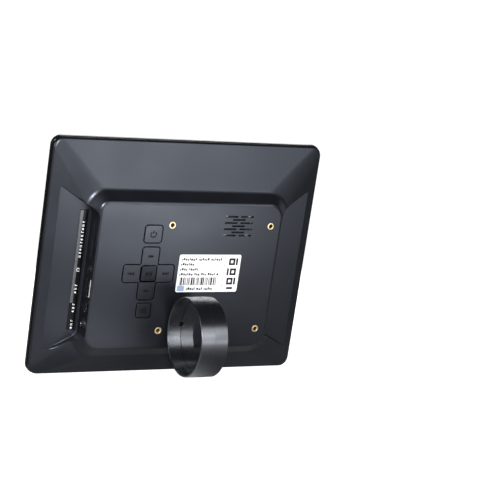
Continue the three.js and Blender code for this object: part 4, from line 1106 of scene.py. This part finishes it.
def makeFloor():
    # pale sheet, lit evenly to white; a second one below it throws pools of light up at the frame
    floor, finish = addSheet("paleFloor", 0, 0.8)
    setInputs(finish.shader, {"Emission Strength": stageSet["white"]})
    floor.visible_glossy = floor.visible_diffuse = floor.visible_shadow = False
    bounce, finish = addSheet("bounceSheet", -0.002, 0.35)
    bounce.visible_camera = False
    nodes, links, total = finish.nodes, finish.links, None
    for x, y, inner, outer, start, end in pools.values():
        gap = nodes.new("ShaderNodeVectorMath")
        gap.operation = "DISTANCE"
        gap.inputs[1].default_value = (x, y, 0)
        links.new(finish.place, gap.inputs[0])
        fade = nodes.new("ShaderNodeMapRange")
        fade.interpolation_type = "SMOOTHSTEP"
        setInputs(fade, {"From Min": inner, "From Max": outer, "To Min": start, "To Max": end})
        links.new(gap.outputs["Value"], fade.inputs["Value"])
        level = fade.outputs["Result"]
        if total:
            add = nodes.new("ShaderNodeMath")
            links.new(total, add.inputs[0])
            links.new(level, add.inputs[1])
            level = add.outputs["Value"]
        total = level
    links.new(total, finish.shader.inputs["Emission Strength"])


def makeSky():
    # white behind the frame, and a low even fill on it
    world = bpy.data.worlds.new("studio")
    bpy.context.scene.world = world
    world.use_nodes = True
    nodes, links = world.node_tree.nodes, world.node_tree.links
    backdrop = nodes["Background"]
    setInputs(backdrop, {"Color": (1, 1, 1, 1)})
    seen = nodes.new("ShaderNodeLightPath").outputs["Is Camera Ray"]
    level = nodes.new("ShaderNodeMapRange")
    setInputs(level, {"To Min": stageSet["fill"], "To Max": stageSet["behind"]})
    links.new(seen, level.inputs["Value"])
    links.new(level.outputs["Result"], backdrop.inputs["Strength"])


def outwardAlong(turn, rise):
    # direction away from the frame, from a turn round it and a rise above level, in degrees
    turn, rise = math.radians(turn), math.radians(rise)
    return Vector((math.cos(turn) * math.cos(rise), math.sin(turn) * math.cos(rise), math.sin(rise)))


lamps = {
    # turn and rise as seen from the frame, distance, size, watts
    "frontSoftbox": (255, 20, 2.0, 1.4, 15), "sideSoftbox": (5, 12, 1.5, 0.7, 9),
    "farSoftbox": (190, 12, 1.5, 0.6, 0.5), "lowSoftbox": (111, 3, 1.5, 0.3, 2.7),
    "midSoftbox": (119, 16, 1.5, 0.4, 2.5), "nearPanel": (105, 6, 0.45, 0.22, 0.1),
    "edgeLamp": (66, 7, 1.3, 0.18, 22),
}
lampAim = Vector((0, 0, 0.08))


def makeLamps():
    for name, (turn, rise, distance, size, watts) in lamps.items():
        outward = outwardAlong(turn, rise)
        place = lampAim + outward * distance
        place.z = max(place.z, 0.02 + size / 2 * math.cos(math.radians(rise)))  # kept off the floor
        bpy.ops.object.light_add(type="AREA", location=place)
        lamp = bpy.context.active_object
        lamp.name = name
        lamp.data.shape = "SQUARE"
        lamp.data.size = size
        lamp.data.energy = watts
        lamp.rotation_euler = outward.to_track_quat("Z", "Y").to_euler()
        lamp.visible_camera = False


view = {"azimuth": 61.753, "elevation": 1.202, "roll": 0.921, "distance": 1.0901, "lens": 115.72,
        "aim": (-0.03739, 0.01995, 0.08556)}


def makeCamera():
    bpy.ops.object.camera_add()
    camera = bpy.context.active_object
    camera.name = "camera"
    outward = outwardAlong(view["azimuth"], view["elevation"])
    camera.location = Vector(view["aim"]) + outward * view["distance"]
    level = outward.to_track_quat("Z", "Y").to_matrix()
    camera.rotation_euler = (level @ Matrix.Rotation(math.radians(view["roll"]), 3, "Z")).to_euler()
    camera.data.lens = view["lens"]
    camera.data.sensor_width = 36
    camera.data.clip_start = 0.05
    bpy.context.scene.camera = camera


makeFloor()
makeSky()
makeLamps()
makeCamera()
bpy.context.scene.view_settings.view_transform = "Standard"
print("floor, light and camera set")
